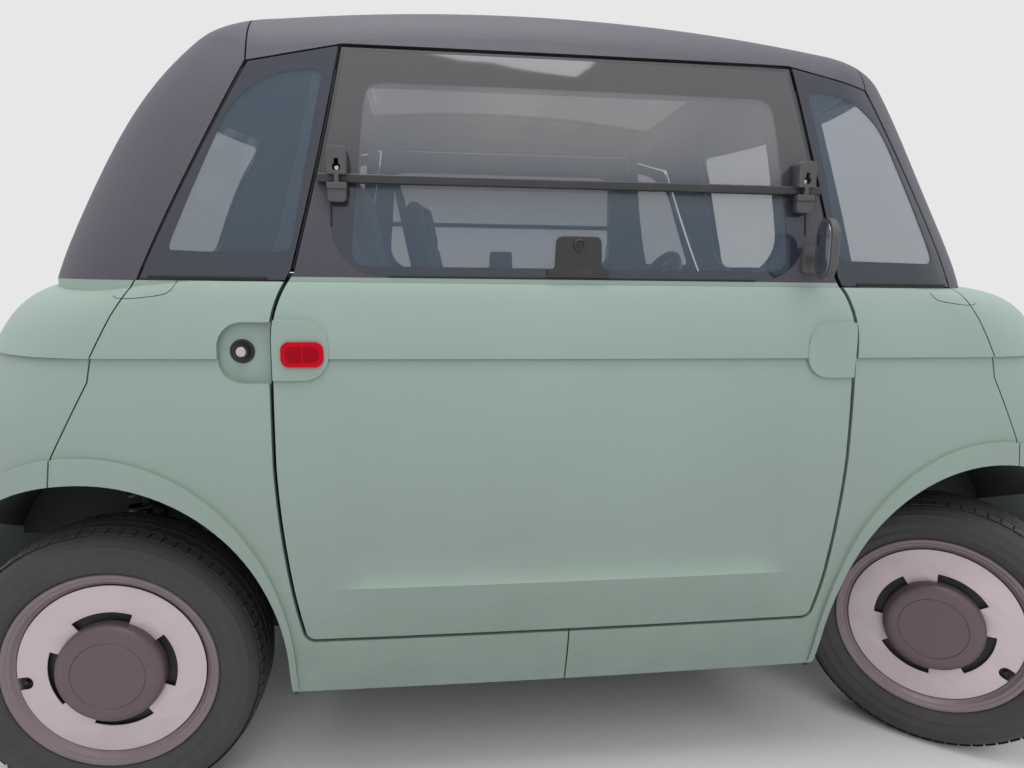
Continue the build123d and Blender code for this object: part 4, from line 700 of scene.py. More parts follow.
def ring_tree():
    """Copies of one block turned about the z axis, joined to the piece they stand on."""
    given, add, close = new_tree(
        "blocks_round_a_ring", ("Block", "Object", None), ("Count", "Int", 60))
    line = add("GeometryNodeMeshLine", {"mode": "OFFSET"}, {
        "Count": given["Count"], "Offset": (0, 0, 0)})
    index = add("GeometryNodeInputIndex")
    turn_each = add("ShaderNodeMath", {"operation": "DIVIDE"}, {0: math.tau, 1: given["Count"]})
    angle = add("ShaderNodeMath", {"operation": "MULTIPLY"}, {
        0: index.outputs[0], 1: turn_each.outputs[0]})
    spin = add("ShaderNodeCombineXYZ", links={"Z": angle.outputs[0]})
    block = add("GeometryNodeObjectInfo", links={"Object": given["Block"]})
    copies = add("GeometryNodeInstanceOnPoints", links={
        "Points": line.outputs["Mesh"], "Instance": block.outputs["Geometry"],
        "Rotation": spin.outputs["Vector"]})
    joined = add("GeometryNodeJoinGeometry", links={"Geometry": copies.outputs["Instances"]})
    joined.id_data.links.new(given["Geometry"], joined.inputs["Geometry"])
    return close(joined.outputs["Geometry"])


def bead_tree():
    """A rounded bead that follows a path."""
    given, add, close = new_tree(
        "bead_along_path", ("Radius", "Float", 0.002), ("Sides", "Int", 10))
    path = add("GeometryNodeMeshToCurve", links={"Mesh": given["Geometry"]})
    section = add("GeometryNodeCurvePrimitiveCircle", {"mode": "RADIUS"}, {
        "Resolution": given["Sides"], "Radius": given["Radius"]})
    bead = add("GeometryNodeCurveToMesh", links={
        "Curve": path.outputs["Curve"], "Profile Curve": section.outputs["Curve"],
        "Fill Caps": True})
    smooth = add("GeometryNodeSetShadeSmooth", links={"Geometry": bead.outputs["Mesh"]})
    return close(smooth.outputs["Geometry"])


def scatter_tree():
    """Copies of one small part on marked points, each turned to its point's facing."""
    given, add, close = new_tree("parts_on_points", ("Part", "Object", None))
    facing = add("GeometryNodeInputNamedAttribute", {"data_type": "FLOAT_VECTOR"}, {
        "Name": "facing"})
    aim = add("FunctionNodeAlignRotationToVector", {"axis": "Z"}, {
        "Vector": facing.outputs["Attribute"]})
    part = add("GeometryNodeObjectInfo", links={"Object": given["Part"]})
    copies = add("GeometryNodeInstanceOnPoints", links={
        "Points": given["Geometry"], "Instance": part.outputs["Geometry"],
        "Rotation": aim.outputs["Rotation"]})
    return close(copies.outputs["Instances"])


def path_piece(name, paths, radius, material, sides, loops=True):
    """Beads of one radius along several paths, as one plain mesh."""
    vertices, edges = [], []
    for path in paths:
        first = len(vertices)
        vertices += [tuple(point) for point in path]
        edges += [(first + index, first + index + 1) for index in range(len(path) - 1)]
        if loops:
            edges.append((first + len(path) - 1, first))
    mesh = bpy.data.meshes.new(name)
    mesh.from_pydata(vertices, edges, [])
    piece = add_object(name, mesh)
    tree = bpy.data.node_groups.get("bead_along_path") or bead_tree()
    set_inputs(piece, tree, {"Radius": radius, "Sides": sides, "Material": material})
    return finished(piece)


def scattered(name, part, places, material):
    """Copies of a part on (point, facing) places, as one plain mesh."""
    mesh = bpy.data.meshes.new(name)
    mesh.from_pydata([tuple(point) for point, facing in places], [], [])
    facings = mesh.attributes.new("facing", "FLOAT_VECTOR", "POINT")
    for item, (point, facing) in zip(facings.data, places):
        item.vector = facing
    piece = add_object(name, mesh)
    tree = bpy.data.node_groups.get("parts_on_points") or scatter_tree()
    set_inputs(piece, tree, {"Part": part, "Material": material})
    return finished(piece)


def discard(piece):
    bpy.data.objects.remove(piece)


def skin_of(*names):
    """A tree of the faces of some CAD nodes, to lay pieces on."""
    vertices, faces = [], []
    for name in names:
        mesh = NODES[name].data
        first = len(vertices)
        vertices += [vertex.co.copy() for vertex in mesh.vertices]
        faces += [[first + index for index in polygon.vertices] for polygon in mesh.polygons]
    return BVHTree.FromPolygons(vertices, faces)


def on_side(skin, along, up, side, proud=0.0):
    """The point of the skin seen from one side at this place, and the way it faces."""
    point, normal, _, _ = skin.ray_cast(Vector((along, side * 1.5, up)), Vector((0, -side, 0)))
    if point is None:
        raise RuntimeError(f"no skin at {along}, {up}")
    if normal.y * side < 0:
        normal = -normal
    return point + normal * proud, normal


def rounded_loop(corners, radii, step=0.012):
    """A closed outline in two dimensions with its corners rounded, as evenly spaced points."""
    points = []
    count = len(corners)
    for index in range(count):
        here = Vector(corners[index])
        before, after = Vector(corners[index - 1]), Vector(corners[(index + 1) % count])
        to_before, to_after = (before - here).normalized(), (after - here).normalized()
        radius = radii[index]
        half = to_before.angle(to_after) / 2
        reach = radius / math.tan(half)
        centre = here + (to_before + to_after).normalized() * radius / math.sin(half)
        start, end = here + to_before * reach, here + to_after * reach
        first = math.atan2(*(start - centre).yx)
        sweep = math.atan2(*(end - centre).yx) - first
        sweep = (sweep + math.pi) % math.tau - math.pi
        pieces = max(2, int(abs(sweep) * radius / step * 2))
        points += [centre + Vector((math.cos(first + sweep * part / pieces),
                                    math.sin(first + sweep * part / pieces))) * radius
                   for part in range(pieces + 1)]
    dense = []
    for here, after in zip(points, points[1:] + points[:1]):
        parts = max(1, int((after - here).length / step))
        dense += [here.lerp(after, part / parts) for part in range(parts)]
    return dense


def rounded_box(half, start, end, start_radius, end_radius, step=0.012):
    """A rounded oblong from one height to another, as evenly spaced points."""
    return rounded_loop([(-half, start), (half, start), (half, end), (-half, end)],
                        [start_radius, start_radius, end_radius, end_radius], step)


def door_reach(skin, side, end, up):
    """How far along the car the door's skin reaches at this height, found by halving."""
    near, far = 0.45, 0.56
    for _ in range(24):
        middle = (near + far) / 2
        point = skin.ray_cast(Vector((end * middle, side * 1.5, up)), Vector((0, -side, 0)))[0]
        if point is None or abs(point.y) < 0.66:
            far = middle
        else:
            near = middle
    return near


def pocket_cover(skin, side, end, low, high, material):
    """A thin cover over a hinge pocket of the door's skin, shaped by the door's other edge."""
    rows, columns, sunk, thick = 12, 10, 0.00004, 0.0011
    outer, inner = [], []
    for row in range(rows + 1):
        up = low + (high - low) * row / rows
        start, stop = PIN_X - 0.018, door_reach(skin, side, -end, up) - 0.0001
        for column in range(columns + 1):
            across = start + (stop - start) * column / columns
            point, normal = on_side(skin, -end * across, up, side)
            point.x, normal.x = -point.x, -normal.x
            outer.append(point - normal * sunk)
            inner.append(point - normal * (sunk + thick))
    wide = columns + 1
    ring = ([column for column in range(wide)]
            + [row * wide + columns for row in range(1, rows + 1)]
            + [rows * wide + column for column in range(columns - 1, -1, -1)]
            + [row * wide for row in range(rows - 1, 0, -1)])
    count = len(outer)
    faces = []
    for row in range(rows):
        for column in range(columns):
            corner = row * wide + column
            square = (corner, corner + 1, corner + wide + 1, corner + wide)
            faces.append(square)
            faces.append(tuple(count + index for index in reversed(square)))
    for here, after in zip(ring, ring[1:] + ring[:1]):
        faces.append((here, here + count, after + count, after))
    return make_piece("pocket_cover", outer + inner, faces, material)


class MICROCAR_OT_body(bpy.types.Operator):
    """Coat the body panels, doors, roof and pillars"""

    bl_idname = "microcar.body"
    bl_label = "Body panels"

    def execute(self, context):
        paint = context.scene.microcar_paint
        body = moulded_body(paint)
        trim = grained_trim(paint)
        door = door_skin(paint)
        coat_nodes(body, "nose_panel tail_panel fender_front_left fender_front_right "
                         "fender_rear_left fender_rear_right")
        coat_nodes(trim, "roof_shell front_pillars rear_pillars")
        coat_nodes(door, "door_left door_right")
        for side, end, name in ((-1, 1, "right"), (1, -1, "left")):
            skin = skin_of(f"door_{name}")
            covers = [pocket_cover(skin, side, end, low, high, door) for low, high in POCKETS]
            cover = merged(f"hinge_covers_{name}", covers, door)
            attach(cover, f"door_{name}")
        return {"FINISHED"}


def coat_node(name, material):
    mesh = NODES[name].data
    mesh.materials.clear()
    mesh.materials.append(material)


def coat_nodes(material, names):
    for name in names.split():
        coat_node(name, material)


class MICROCAR_OT_glass(bpy.types.Operator):
    """Tint the panes and print their black borders"""

    bl_idname = "microcar.glass"
    bl_label = "Glass"

    def execute(self, context):
        paint = context.scene.microcar_paint
        # The door glass alone carries the painted sky reflection.
        door = tinted_glass("door_glass", paint, WINDOW_CLEAR, "xz", 0.05, painted_reflection_share=1.0)
        quarter = tinted_glass("quarter_glass", paint, QUARTER_CLEAR, "xz", 0.03)
        screen = tinted_glass("screen_glass", paint, (
            (-0.575, 1.052), (0.575, 1.052), (0.455, 1.412), (-0.455, 1.412)), "yz", 0.04, 0.16)
        rear = tinted_glass("rear_glass", paint, (
            (-0.455, 1.078), (0.455, 1.078), (0.385, 1.388), (-0.385, 1.388)), "yz", 0.04)
        roof = tinted_glass("roof_glass", paint, (
            (-0.415, -0.400), (0.455, -0.400), (0.455, 0.400), (-0.415, 0.400)), "xy", 0.05, 0.5)
        coat_nodes(door, "door_glass_left door_glass_right")
        coat_node("quarter_glass", quarter)
        coat_node("windscreen", screen)
        coat_node("rear_window", rear)
        coat_node("roof_glass", roof)
        return {"FINISHED"}


def tread_block(rim, groove, pitch):
    """One pitch of the tread: a middle rib, two slanted blocks and two shoulder blocks."""
    floor = rim - groove
    vertices, faces = [], []

    def block(inner, outer, top_inner, top_outer, gap, slant):
        first = len(vertices)
        spans = 3
        half = pitch / 2 - gap / rim / 2
        for step in range(spans + 1):
            share = -half + 2 * half * step / spans
            for width, radius in ((inner, floor), (inner, top_inner),
                                  (outer, top_outer), (outer, floor)):
                angle = share + slant * (width - (inner + outer) / 2) / rim
                vertices.append((radius * math.cos(angle), radius * math.sin(angle), width))
        for step in range(spans):
            low = first + step * 4
            for index in range(3):
                faces.append((low + index, low + index + 1, low + index + 5, low + index + 4))
        last = first + spans * 4
        faces.append((first + 3, first + 2, first + 1, first))
        faces.append((last, last + 1, last + 2, last + 3))

    block(-0.0085, 0.0085, rim, rim, 0.0002, 0.0)
    for side in (1, -1):
        block(*sorted((side * 0.0135, side * 0.0330)), rim - 0.0003, rim - 0.0005, 0.0022,
              side * 0.55)
        edges = sorted(((side * 0.0380, rim - 0.0010), (side * 0.0590, rim - 0.0052)))
        block(edges[0][0], edges[1][0], edges[0][1], edges[1][1], 0.0034, side * 0.12)
    return vertices, faces


class MICROCAR_OT_tyres(bpy.types.Operator):
    """Build the tyres with their treads and sidewall ribs"""

    bl_idname = "microcar.tyres"
    bl_label = "Tyres"

    def execute(self, context):
        wheels = context.scene.microcar_wheels
        rubber = tyre_rubber()
        low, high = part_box("tyre_rear_right")
        rim = (high.z - low.z) / 2
        half = (high.y - low.y) / 2
        floor = rim - wheels.groove
        side = [(0.1958, half - 0.0175), (0.1995, half - 0.0120), (0.2050, half - 0.0078),
                (0.2120, half - 0.0046), (0.2150, half - 0.0030), (0.2165, half - 0.0022),
                (0.2180, half - 0.0030), (0.2250, half - 0.0010), (0.2330, half - 0.0002),
                (0.2345, half + 0.0004), (0.2375, half + 0.0004), (0.2390, half - 0.0002),
                (0.2460, half - 0.0010), (0.2520, half - 0.0032), (0.2535, half - 0.0030),
                (0.2550, half - 0.0046), (0.2600, half - 0.0078), (0.2640, half - 0.0120),
                (floor - 0.0045, half - 0.0165), (floor - 0.0012, half - 0.0215)]
        section = side + [(radius, -width) for radius, width in reversed(side)]
        vertices, faces = spun(section, 144)
        block_vertices, block_faces = tread_block(rim, wheels.groove, math.tau / wheels.pitches)
        block = make_piece("tread_pitch", block_vertices, block_faces, rubber, outward=False)
        carcass = make_piece("carcass", vertices, faces, rubber, smooth=50.0)
        set_inputs(carcass, ring_tree(), {
            "Block": block, "Count": wheels.pitches, "Material": rubber})
        finished(carcass)
        for number, corner in enumerate(CORNERS):
            tyre = add_object(f"road_tyre_{corner}", carcass.data.copy())
            place_mesh(tyre, corner_matrix(corner) @ turn(17.0 * number))
            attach(tyre, f"wheel_{corner}")
            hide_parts(f"tyre_{corner}")
        discard(block)
        discard(carcass)
        return {"FINISHED"}


def arc_points(radius, start, end, steps):
    return [(radius * math.cos(math.radians(start + (end - start) * step / steps)),
             radius * math.sin(math.radians(start + (end - start) * step / steps)))
            for step in range(steps + 1)]


def flat_plate(name, outline, holes, thickness, bevel, material):
    """A plate with holes and softly broken edges, its front face at z = 0."""
    curve = bpy.data.curves.new(name, "CURVE")
    curve.dimensions = "2D"
    curve.fill_mode = "BOTH"
    curve.extrude = thickness / 2 - bevel
    curve.bevel_depth = bevel
    curve.bevel_resolution = 2
    curve.offset = -bevel
    for points in [outline] + holes:
        spline = curve.splines.new("POLY")
        spline.points.add(len(points) - 1)
        for point, (across, up) in zip(spline.points, points):
            point.co = (across, up, 0.0, 1.0)
        spline.use_cyclic_u = True
    lump = add_object(name, curve)
    bpy.context.view_layer.update()
    mesh = bpy.data.meshes.new_from_object(
        lump.evaluated_get(bpy.context.evaluated_depsgraph_get()))
    discard(lump)
    mesh.materials.clear()
    mesh.materials.append(material)
    shape = bmesh.new()
    shape.from_mesh(mesh)
    bmesh.ops.remove_doubles(shape, verts=shape.verts, dist=0.000005)
    bmesh.ops.recalc_face_normals(shape, faces=shape.faces)
    soften(shape, 35)
    shape.to_mesh(mesh)
    shape.free()
    return place_mesh(add_object(name, mesh), lift(-thickness / 2))


class MICROCAR_OT_wheels(bpy.types.Operator):
    """Build the rims, the wheel covers with their slots, and the centre caps"""

    bl_idname = "microcar.wheels"
    bl_label = "Wheels and covers"

    def execute(self, context):
        wheels = context.scene.microcar_wheels
        lip_metal = wheel_metal("rim_metal", (0.215, 0.167, 0.178), 0.35, 0.40, 0.25)
        cover_metal = wheel_metal("cover_lacquer", wheels.cover, 0.15, 0.42, 0.10)
        cap_metal = wheel_metal("cap_lacquer", wheels.cap, 0.30, 0.38, 0.08)
        black = painted_steel("wheel_black", (0.008, 0.008, 0.009), 0.55)
        rim_section = mm(
            (170, -16), (171.2, -13.5), (173.8, -11.5), (176.8, -9.5), (179, -5.2),
            (181.5, -3.4), (185, -2.8), (187.2, -0.4), (190.5, 0.8), (194, 0.4), (195.8, -1.6),
            (196.2, -6), (195, -9), (188, -13), (172, -46), (166, -50), (166, -74), (176, -93),
            (185, -118), (194.8, -124), (195, -129), (176, -129), (170, -96), (160, -78),
            (160, -42), (165, -36), (169, -20))
        web_section = mm(
            (0, -18.5), (72, -18.5), (130, -19.2), (168.3, -20), (168.3, -23.2), (130, -23),
            (70, -23), (59.8, -57), (59.8, -64), (0, -64))
        cap_section = mm(
            (0, 11.8), (40, 12.2), (64, 13.6), (65.2, 13.6), (66, 12.6), (67, 12.6),
            (67.8, 13.8), (76, 14), (85, 12.8), (92, 10), (96.2, 6.2), (98, 2), (98.4, -4),
            (98.4, -15), (0, -15))
        notch_start = math.degrees(math.asin(NOTCH_HALF / COVER_RADIUS))
        outline = arc_points(COVER_RADIUS, notch_start, 360 - notch_start, 176)
        outline += [(NOTCH_MIDDLE + NOTCH_HALF * math.cos(math.radians(angle)),
                     NOTCH_HALF * math.sin(math.radians(angle))) for angle in range(270, 89, -12)]
        holes = [arc_points(SLOT_RADII[1], middle - SLOT_HALF_ANGLE, middle + SLOT_HALF_ANGLE, 20)
                 + arc_points(SLOT_RADII[0], middle + SLOT_HALF_ANGLE, middle - SLOT_HALF_ANGLE, 20)
                 for middle in (90, 180, 270, 360)]
        holes.append(arc_points(CAP_HOLE, 0, 360, 96)[:-1])
        cover = flat_plate("cover_plate", outline, holes, COVER_THICKNESS, 0.0006, cover_metal)
        rim = make_piece("rim_ring", *spun(rim_section, 128), lip_metal, smooth=35.0)
        web = make_piece("rim_web", *spun(web_section, 96, closed=False), black, smooth=35.0)
        cap = make_piece("cap_dome", *spun(cap_section, 128, closed=False), cap_metal, smooth=50.0)
        valve_section = mm(
            (0, 8), (3, 8), (4.2, 6.8), (4.2, 0), (5, -1), (5, -3), (8, -4.6), (0, -4.6))
        valve = make_piece("valve_stem", *spun(valve_section, 20, closed=False), black, smooth=35.0)
        place_mesh(valve, Matrix.Translation(VALVE_PLACE))
        for corner in CORNERS:
            out = corner_matrix(corner) @ lift(RIM_FACE - TYRE_MIDDLE)
            notch = NOTCH_TURNS[corner]
            for part, name, spin, depth in (
                    (rim, "rim", 0, 0), (web, "web", 0, 0), (cover, "cover", notch, COVER_DEPTH),
                    (valve, "valve", notch, COVER_DEPTH), (cap, "cap", CAP_TURNS[corner], 0)):
                piece = add_object(f"wheel_{name}_{corner}", part.data.copy())
                place_mesh(piece, out @ turn(spin) @ lift(depth))
                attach(piece, f"wheel_{corner}")
                if name == "rim":
                    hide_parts(f"wheel_{corner}")
        for part in (rim, web, cover, valve, cap):
            discard(part)
        return {"FINISHED"}


def screw_part(material, radius, height):
    """A low screw head with a round socket."""
    section = [(radius, 0.0), (radius, height * 0.5), (radius * 0.82, height),
               (radius * 0.5, height)]
    vertices, faces = spun(section, 18, closed=False)
    first = len(vertices)
    for depth in (height, height * 0.3):
        vertices += [(*point, depth) for point in arc_points(radius * 0.46, 0, 360, 18)[:-1]]
    for k in range(18):
        after = (k + 1) % 18
        faces.append((k * 4 + 3, after * 4 + 3, first + after, first + k))
        faces.append((first + k, first + after, first + 18 + after, first + 18 + k))
    faces.append(tuple(first + 18 + k for k in range(18)))
    faces.append(tuple(k * 4 for k in reversed(range(18))))
    return make_piece("screw", vertices, faces, material, smooth=30.0)


def plate_at(name, outline, holes, face, thickness, bevel, material, matrix, skin=None, side=0):
    """A plate put at its place, with its back let down onto the skin behind it."""
    plate = place_mesh(flat_plate(name, outline, holes, thickness, bevel, material), matrix)
    if skin is not None:
        for vertex in plate.data.vertices:
            if abs(vertex.co.y) < face - thickness / 2:
                vertex.co.y = on_side(skin, vertex.co.x, vertex.co.z, side, -0.0005)[0].y
    return plate


def block_outlines():
    """Front views of a window hinge: its block with a keyhole slot, and the lug below it."""
    half, neck = 0.0165, 0.0036
    block = rounded_loop(
        [(-half, 0.0), (half, 0.0), (half, -0.0465), (neck, -0.0465), (neck, -0.0590),
         (half, -0.0590), (half, -0.0700), (-half, -0.0700), (-half, -0.0590), (-neck, -0.0590),
         (-neck, -0.0465), (-half, -0.0465)],
        [0.009, 0.009, 0.002, 0.001, 0.001, 0.0015, 0.0015, 0.0015, 0.0015, 0.001, 0.001, 0.002],
        0.004)
    slot = rounded_loop(
        [(-0.0036, -0.0205), (0.0036, -0.0205), (0.0036, -0.0300), (0.0064, -0.0300),
         (0.0064, -0.0400), (-0.0064, -0.0400), (-0.0064, -0.0300), (-0.0036, -0.0300)],
        [0.0015, 0.0015, 0.0005, 0.0012, 0.0025, 0.0025, 0.0012, 0.0005], 0.003)
    lug = rounded_box(0.0155, -0.0695, -0.0910, 0.001, 0.007, 0.004)
    return block, slot, lug


class MICROCAR_OT_door_trim(bpy.types.Operator):
    """Fit the window bar with its hinges and latch, the window seals and the mirrors' glass"""

    bl_idname = "microcar.door_trim"
    bl_label = "Window bar, latch, seals and mirrors"

    def execute(self, context):
        rubber = soft_black("seal_rubber", 0.010, 0.62, 500.0)
        grey = soft_black("hinge_plastic", 0.072, 0.50)
        gloss = soft_black("latch_plastic", 0.026, 0.16, 90.0, 0.00003)
        black = soft_black("bar_plastic", 0.030, 0.34)
        steel = bright_chrome("screw_steel", 0.25, (0.62, 0.61, 0.60))
        silver = bright_chrome("mirror_silver", 0.03, (0.52, 0.55, 0.60))
        screw = screw_part(steel, 0.0042, 0.0016)
        block_line, slot, lug_line = block_outlines()
        bar_line = rounded_box(0.452, -0.0075, 0.0075, 0.003, 0.003, 0.03)
        latch_line = rounded_loop(
            mm((-40, 15), (40, 15), (42.5, -43), (56, -43), (56, -54), (-56, -54), (-56, -43),
               (-42.5, -43)),
            [0.012, 0.012, 0.008, 0.0015, 0.001, 0.001, 0.0015, 0.008], 0.004)
        knob_section = mm(
            (0, 1.6), (1.6, 1.6), (2, 4), (4.4, 4.2), (5, 1.8), (6.8, 1.8), (7.4, 5), (9.6, 5.2),
            (10.6, 4), (10.8, -2), (0, -2))
        glass_line = rounded_box(0.031, -0.046, 0.046, 0.0285, 0.0285, 0.006)
        flap = rounded_box(FLAP_HALF, FLAP_BOTTOM, BAR_Z - 0.002, FLAP_CORNER, 0.004)
        for side, name in ((-1, "right"), (1, "left")):
            skin = skin_of(f"door_{name}", f"door_glass_{name}")
            outward = Vector((0, side, 0))

            def at(along, face, up):
                return facing_matrix(Vector((along, side * face, up)), outward)

            def plate(outline, holes, face, thickness, bevel, material, along, up):
                return plate_at("plate", outline, holes, face, thickness, bevel, material,
                                at(along, face, up), skin, side)

            hinges, heads = [], []
            for along in (BLOCK_X, -BLOCK_X):
                hinges.append(plate(block_line, [slot], BLOCK_FACE, 0.020, 0.0011, grey,
                                    along, BLOCK_TOP))
                hinges.append(plate(lug_line, [], BLOCK_FACE - 0.003, 0.012, 0.0012, grey,
                                    along, BLOCK_TOP))
                heads.append((Vector((along, side * (BLOCK_FACE - 0.010), BLOCK_TOP - 0.0352)),
                              outward))
            knob = make_piece("knob", *spun(knob_section, 40, closed=False), black, smooth=30.0)
            edge = [on_side(skin, along, up, side, -0.0002)[0] for along, up in flap]
            turned = math.radians(MIRROR_TURN)
            back = Vector((-math.cos(turned), -side * math.sin(turned), 0))
            centre = Vector((MIRROR_HEAD[0], side * MIRROR_HEAD[1], MIRROR_HEAD[2]))
            pieces = {
                "window_hinges": merged("hinges", hinges, grey),
                "window_rail": plate(bar_line, [], BAR_FACE, 0.012, 0.0028, black, 0.0, BAR_Z),
                "latch_plate": plate(latch_line, [], LATCH_FACE, 0.010, 0.0010, gloss,
                                     0.0, LATCH_KNOB_Z),
                "latch_knob": place_mesh(knob, at(0.0, LATCH_FACE, LATCH_KNOB_Z)),
                "flap_seal": path_piece("seal", [edge], 0.0019, rubber, 8),
                "window_screws": scattered("screws", screw, heads, steel),
                "mirror_glass": plate_at("silver", glass_line, [], 0, 0.0022, 0.0005, silver,
                                         facing_matrix(centre + back * 0.0088, back)),
            }
            for label, piece in pieces.items():
                piece.name = f"{label}_{name}"
                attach(piece, f"door_{name}")
            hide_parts(f"window_bar_{name}")
            coat_node(f"mirror_{name}", grey)
        discard(screw)
        coat_nodes(black, "wiper steering_wheel steering_column pedals")
        coat_node("door_reflector_right", reflector_prisms("red_prisms", (0.36, 0.0015, 0.010)))
        coat_node("door_reflector_left", reflector_prisms("amber_prisms", (0.62, 0.17, 0.01)))
        return {"FINISHED"}


class MICROCAR_OT_body_trim(bpy.types.Operator):
    """Fit the door buttons, the seals round the side panes and the joints of the pillar caps"""

    bl_idname = "microcar.body_trim"
    bl_label = "Buttons, seals and joint lines"

    def execute(self, context):
        black = soft_black("button_plastic", 0.014, 0.30, 400.0)
        rubber = bpy.data.materials["seal_rubber"]
        metal = bright_chrome("button_metal", 0.32, (0.60, 0.54, 0.56))
        flange = mm(
            (0, -0.5), (20.8, -0.5), (20.8, 2), (20, 3), (17.5, 3.6), (15.5, 2.8), (14, 3),
            (13.2, 6), (12.2, 12.5), (11.4, 13.8), (9.8, 14), (9, 12.6), (0, 12.6))
        insert = mm(
            (0, 12), (8.6, 12), (8.6, 13.2), (7.8, 13.8), (6, 13.4), (0, 13.1))
        along, aside, up = LOCK_PLACE
        rings, inserts, seals, lines, door_strips, pillar_strips = [], [], [], [], [], []
        ends = skin_of("fender_front_left", "fender_front_right", "fender_rear_left",
                       "fender_rear_right", "nose_panel", "tail_panel")
        panes = skin_of("quarter_glass")
        for side in (-1, 1):
            place = facing_matrix(Vector((side * along, side * aside, up)), Vector((0, side, 0)))
            for section, coat, group in ((flange, black, rings), (insert, metal, inserts)):
                group.append(place_mesh(make_piece("button", *spun(section, 48, closed=False), coat,
                                                   smooth=30.0), place))
            for end in (-1, 1):
                seals.append([on_side(panes, end * (0.540 + 0.0195 * step), 1.0178, side, 0.0002)[0]
                              for step in range(11)])
                lines.append([on_side(ends, end * across, height, side, -0.0003)[0]
                              for across, height in CAP_LINE])
                for strips, column, inset in ((door_strips, 1, 0.0045),
                                              (pillar_strips, 2, -0.0038)):
                    strip = []
                    for row in PANE_GAPS:
                        height, gap = row[0], row[column]
                        point = on_side(panes, end * (gap + inset), height, side, 0)[0]
                        strip.append(Vector((end * gap, point.y - side * GAP_DEPTH, height)))
                    strips.append(strip)
        whole = merged("door_buttons", rings, black)
        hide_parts("lock_buttons")
        seal = path_piece("side_pane_seals", seals, 0.0024, rubber, 8, loops=False)
        joint = path_piece("pillar_cap_joints", lines, 0.0008, rubber, 6, loops=False)
        strips = (path_piece("door_gap_seals", door_strips, 0.0025, rubber, 8, loops=False),
                  path_piece("pillar_gap_seals", pillar_strips, 0.0030, rubber, 8, loops=False))
        for piece in (whole, merged("button_inserts", inserts, metal), seal, joint, *strips):
            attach(piece, "body")
        return {"FINISHED"}


def loose_parts(piece):
    """The points and faces of each part of a mesh that hangs together."""
    shape = bmesh.new()
    shape.from_mesh(piece.data)
    bmesh.ops.remove_doubles(shape, verts=shape.verts, dist=0.00001)
    seen = set()
    results = []
    for first in shape.verts:
        if first in seen:
            continue
        seen.add(first)
        todo, group = [first], {first: 0}
        while todo:
            for edge in todo.pop().link_edges:
                for vertex in edge.verts:
                    if vertex not in seen:
                        seen.add(vertex)
                        group[vertex] = len(group)
                        todo.append(vertex)
        faces = [[group[vertex] for vertex in face.verts]
                 for face in shape.faces if face.verts[0] in group]
        results.append(([vertex.co.copy() for vertex in group], faces))
    shape.free()
    return results


def settle_cloth(pad, pressure, cap):
    """Fill a closed pad like a cushion: cloth with pressure inside, each point's path capped."""
    start = np.array([vertex.co for vertex in pad.data.vertices])
    cloth = pad.modifiers.new("fill", "CLOTH")
    cloth.settings.use_pressure = True
    cloth.settings.uniform_pressure_force = pressure
    cloth.settings.tension_stiffness = 18
    cloth.settings.compression_stiffness = 18
    cloth.settings.effector_weights.gravity = 0
    scene = bpy.context.scene
    for number in range(1, FILL_FRAMES + 1):
        scene.frame_set(number)
    shaped = pad.evaluated_get(bpy.context.evaluated_depsgraph_get())
    end = np.array([vertex.co for vertex in shaped.data.vertices])
    pad.modifiers.clear()
    scene.frame_set(1)
    path = end - start
    reach = np.linalg.norm(path, axis=1, keepdims=True)
    path *= np.minimum(1.0, cap / np.maximum(reach, 1e-9))
    for vertex, place in zip(pad.data.vertices, start + path):
        vertex.co = place
    pad.data.update()


class MICROCAR_OT_seats(bpy.types.Operator):
    """Fill the seat cushions, press in their sewn channels and coat the seat shells"""

    bl_idname = "microcar.seats"
    bl_label = "Seats"

    def execute(self, context):
        cabin = context.scene.microcar_cabin
        cloth = seat_cloth(cabin)
        pads = []
        for number, (points, faces) in enumerate(loose_parts(NODES["seat_cushions"])):
            pad = make_piece(f"pad_{number}", points, faces, cloth)
            shape = bmesh.new()
            shape.from_mesh(pad.data)
            bmesh.ops.bevel(shape, geom=shape.edges, offset=PAD_ROUNDING, segments=3,
                            affect="EDGES")
            shape.to_mesh(pad.data)
            shape.free()
            points = pad.data.vertices
            centre = sum((vertex.co for vertex in points), Vector()) / len(points)
            for vertex in points:
                vertex.co = centre + (vertex.co - centre) * PAD_SHARE
            remesh = pad.modifiers.new("even", "REMESH")
            remesh.mode = "VOXEL"
            remesh.voxel_size = PAD_CELL
            finished(pad)
            settle_cloth(pad, cabin.pressure, cabin.swell)
            press_channels(pad)
            smooth = pad.modifiers.new("smooth", "SUBSURF")
            smooth.levels = smooth.render_levels = 1
            finished(pad)
            for polygon in pad.data.polygons:
                polygon.use_smooth = True
            pads.append(pad)
        whole = merged("seat_padding", pads, cloth)
        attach(whole, "body")
        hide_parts("seat_cushions")
        coat_node("seat_shells", soft_black("shell_plastic", 0.020, 0.5))
        return {"FINISHED"}


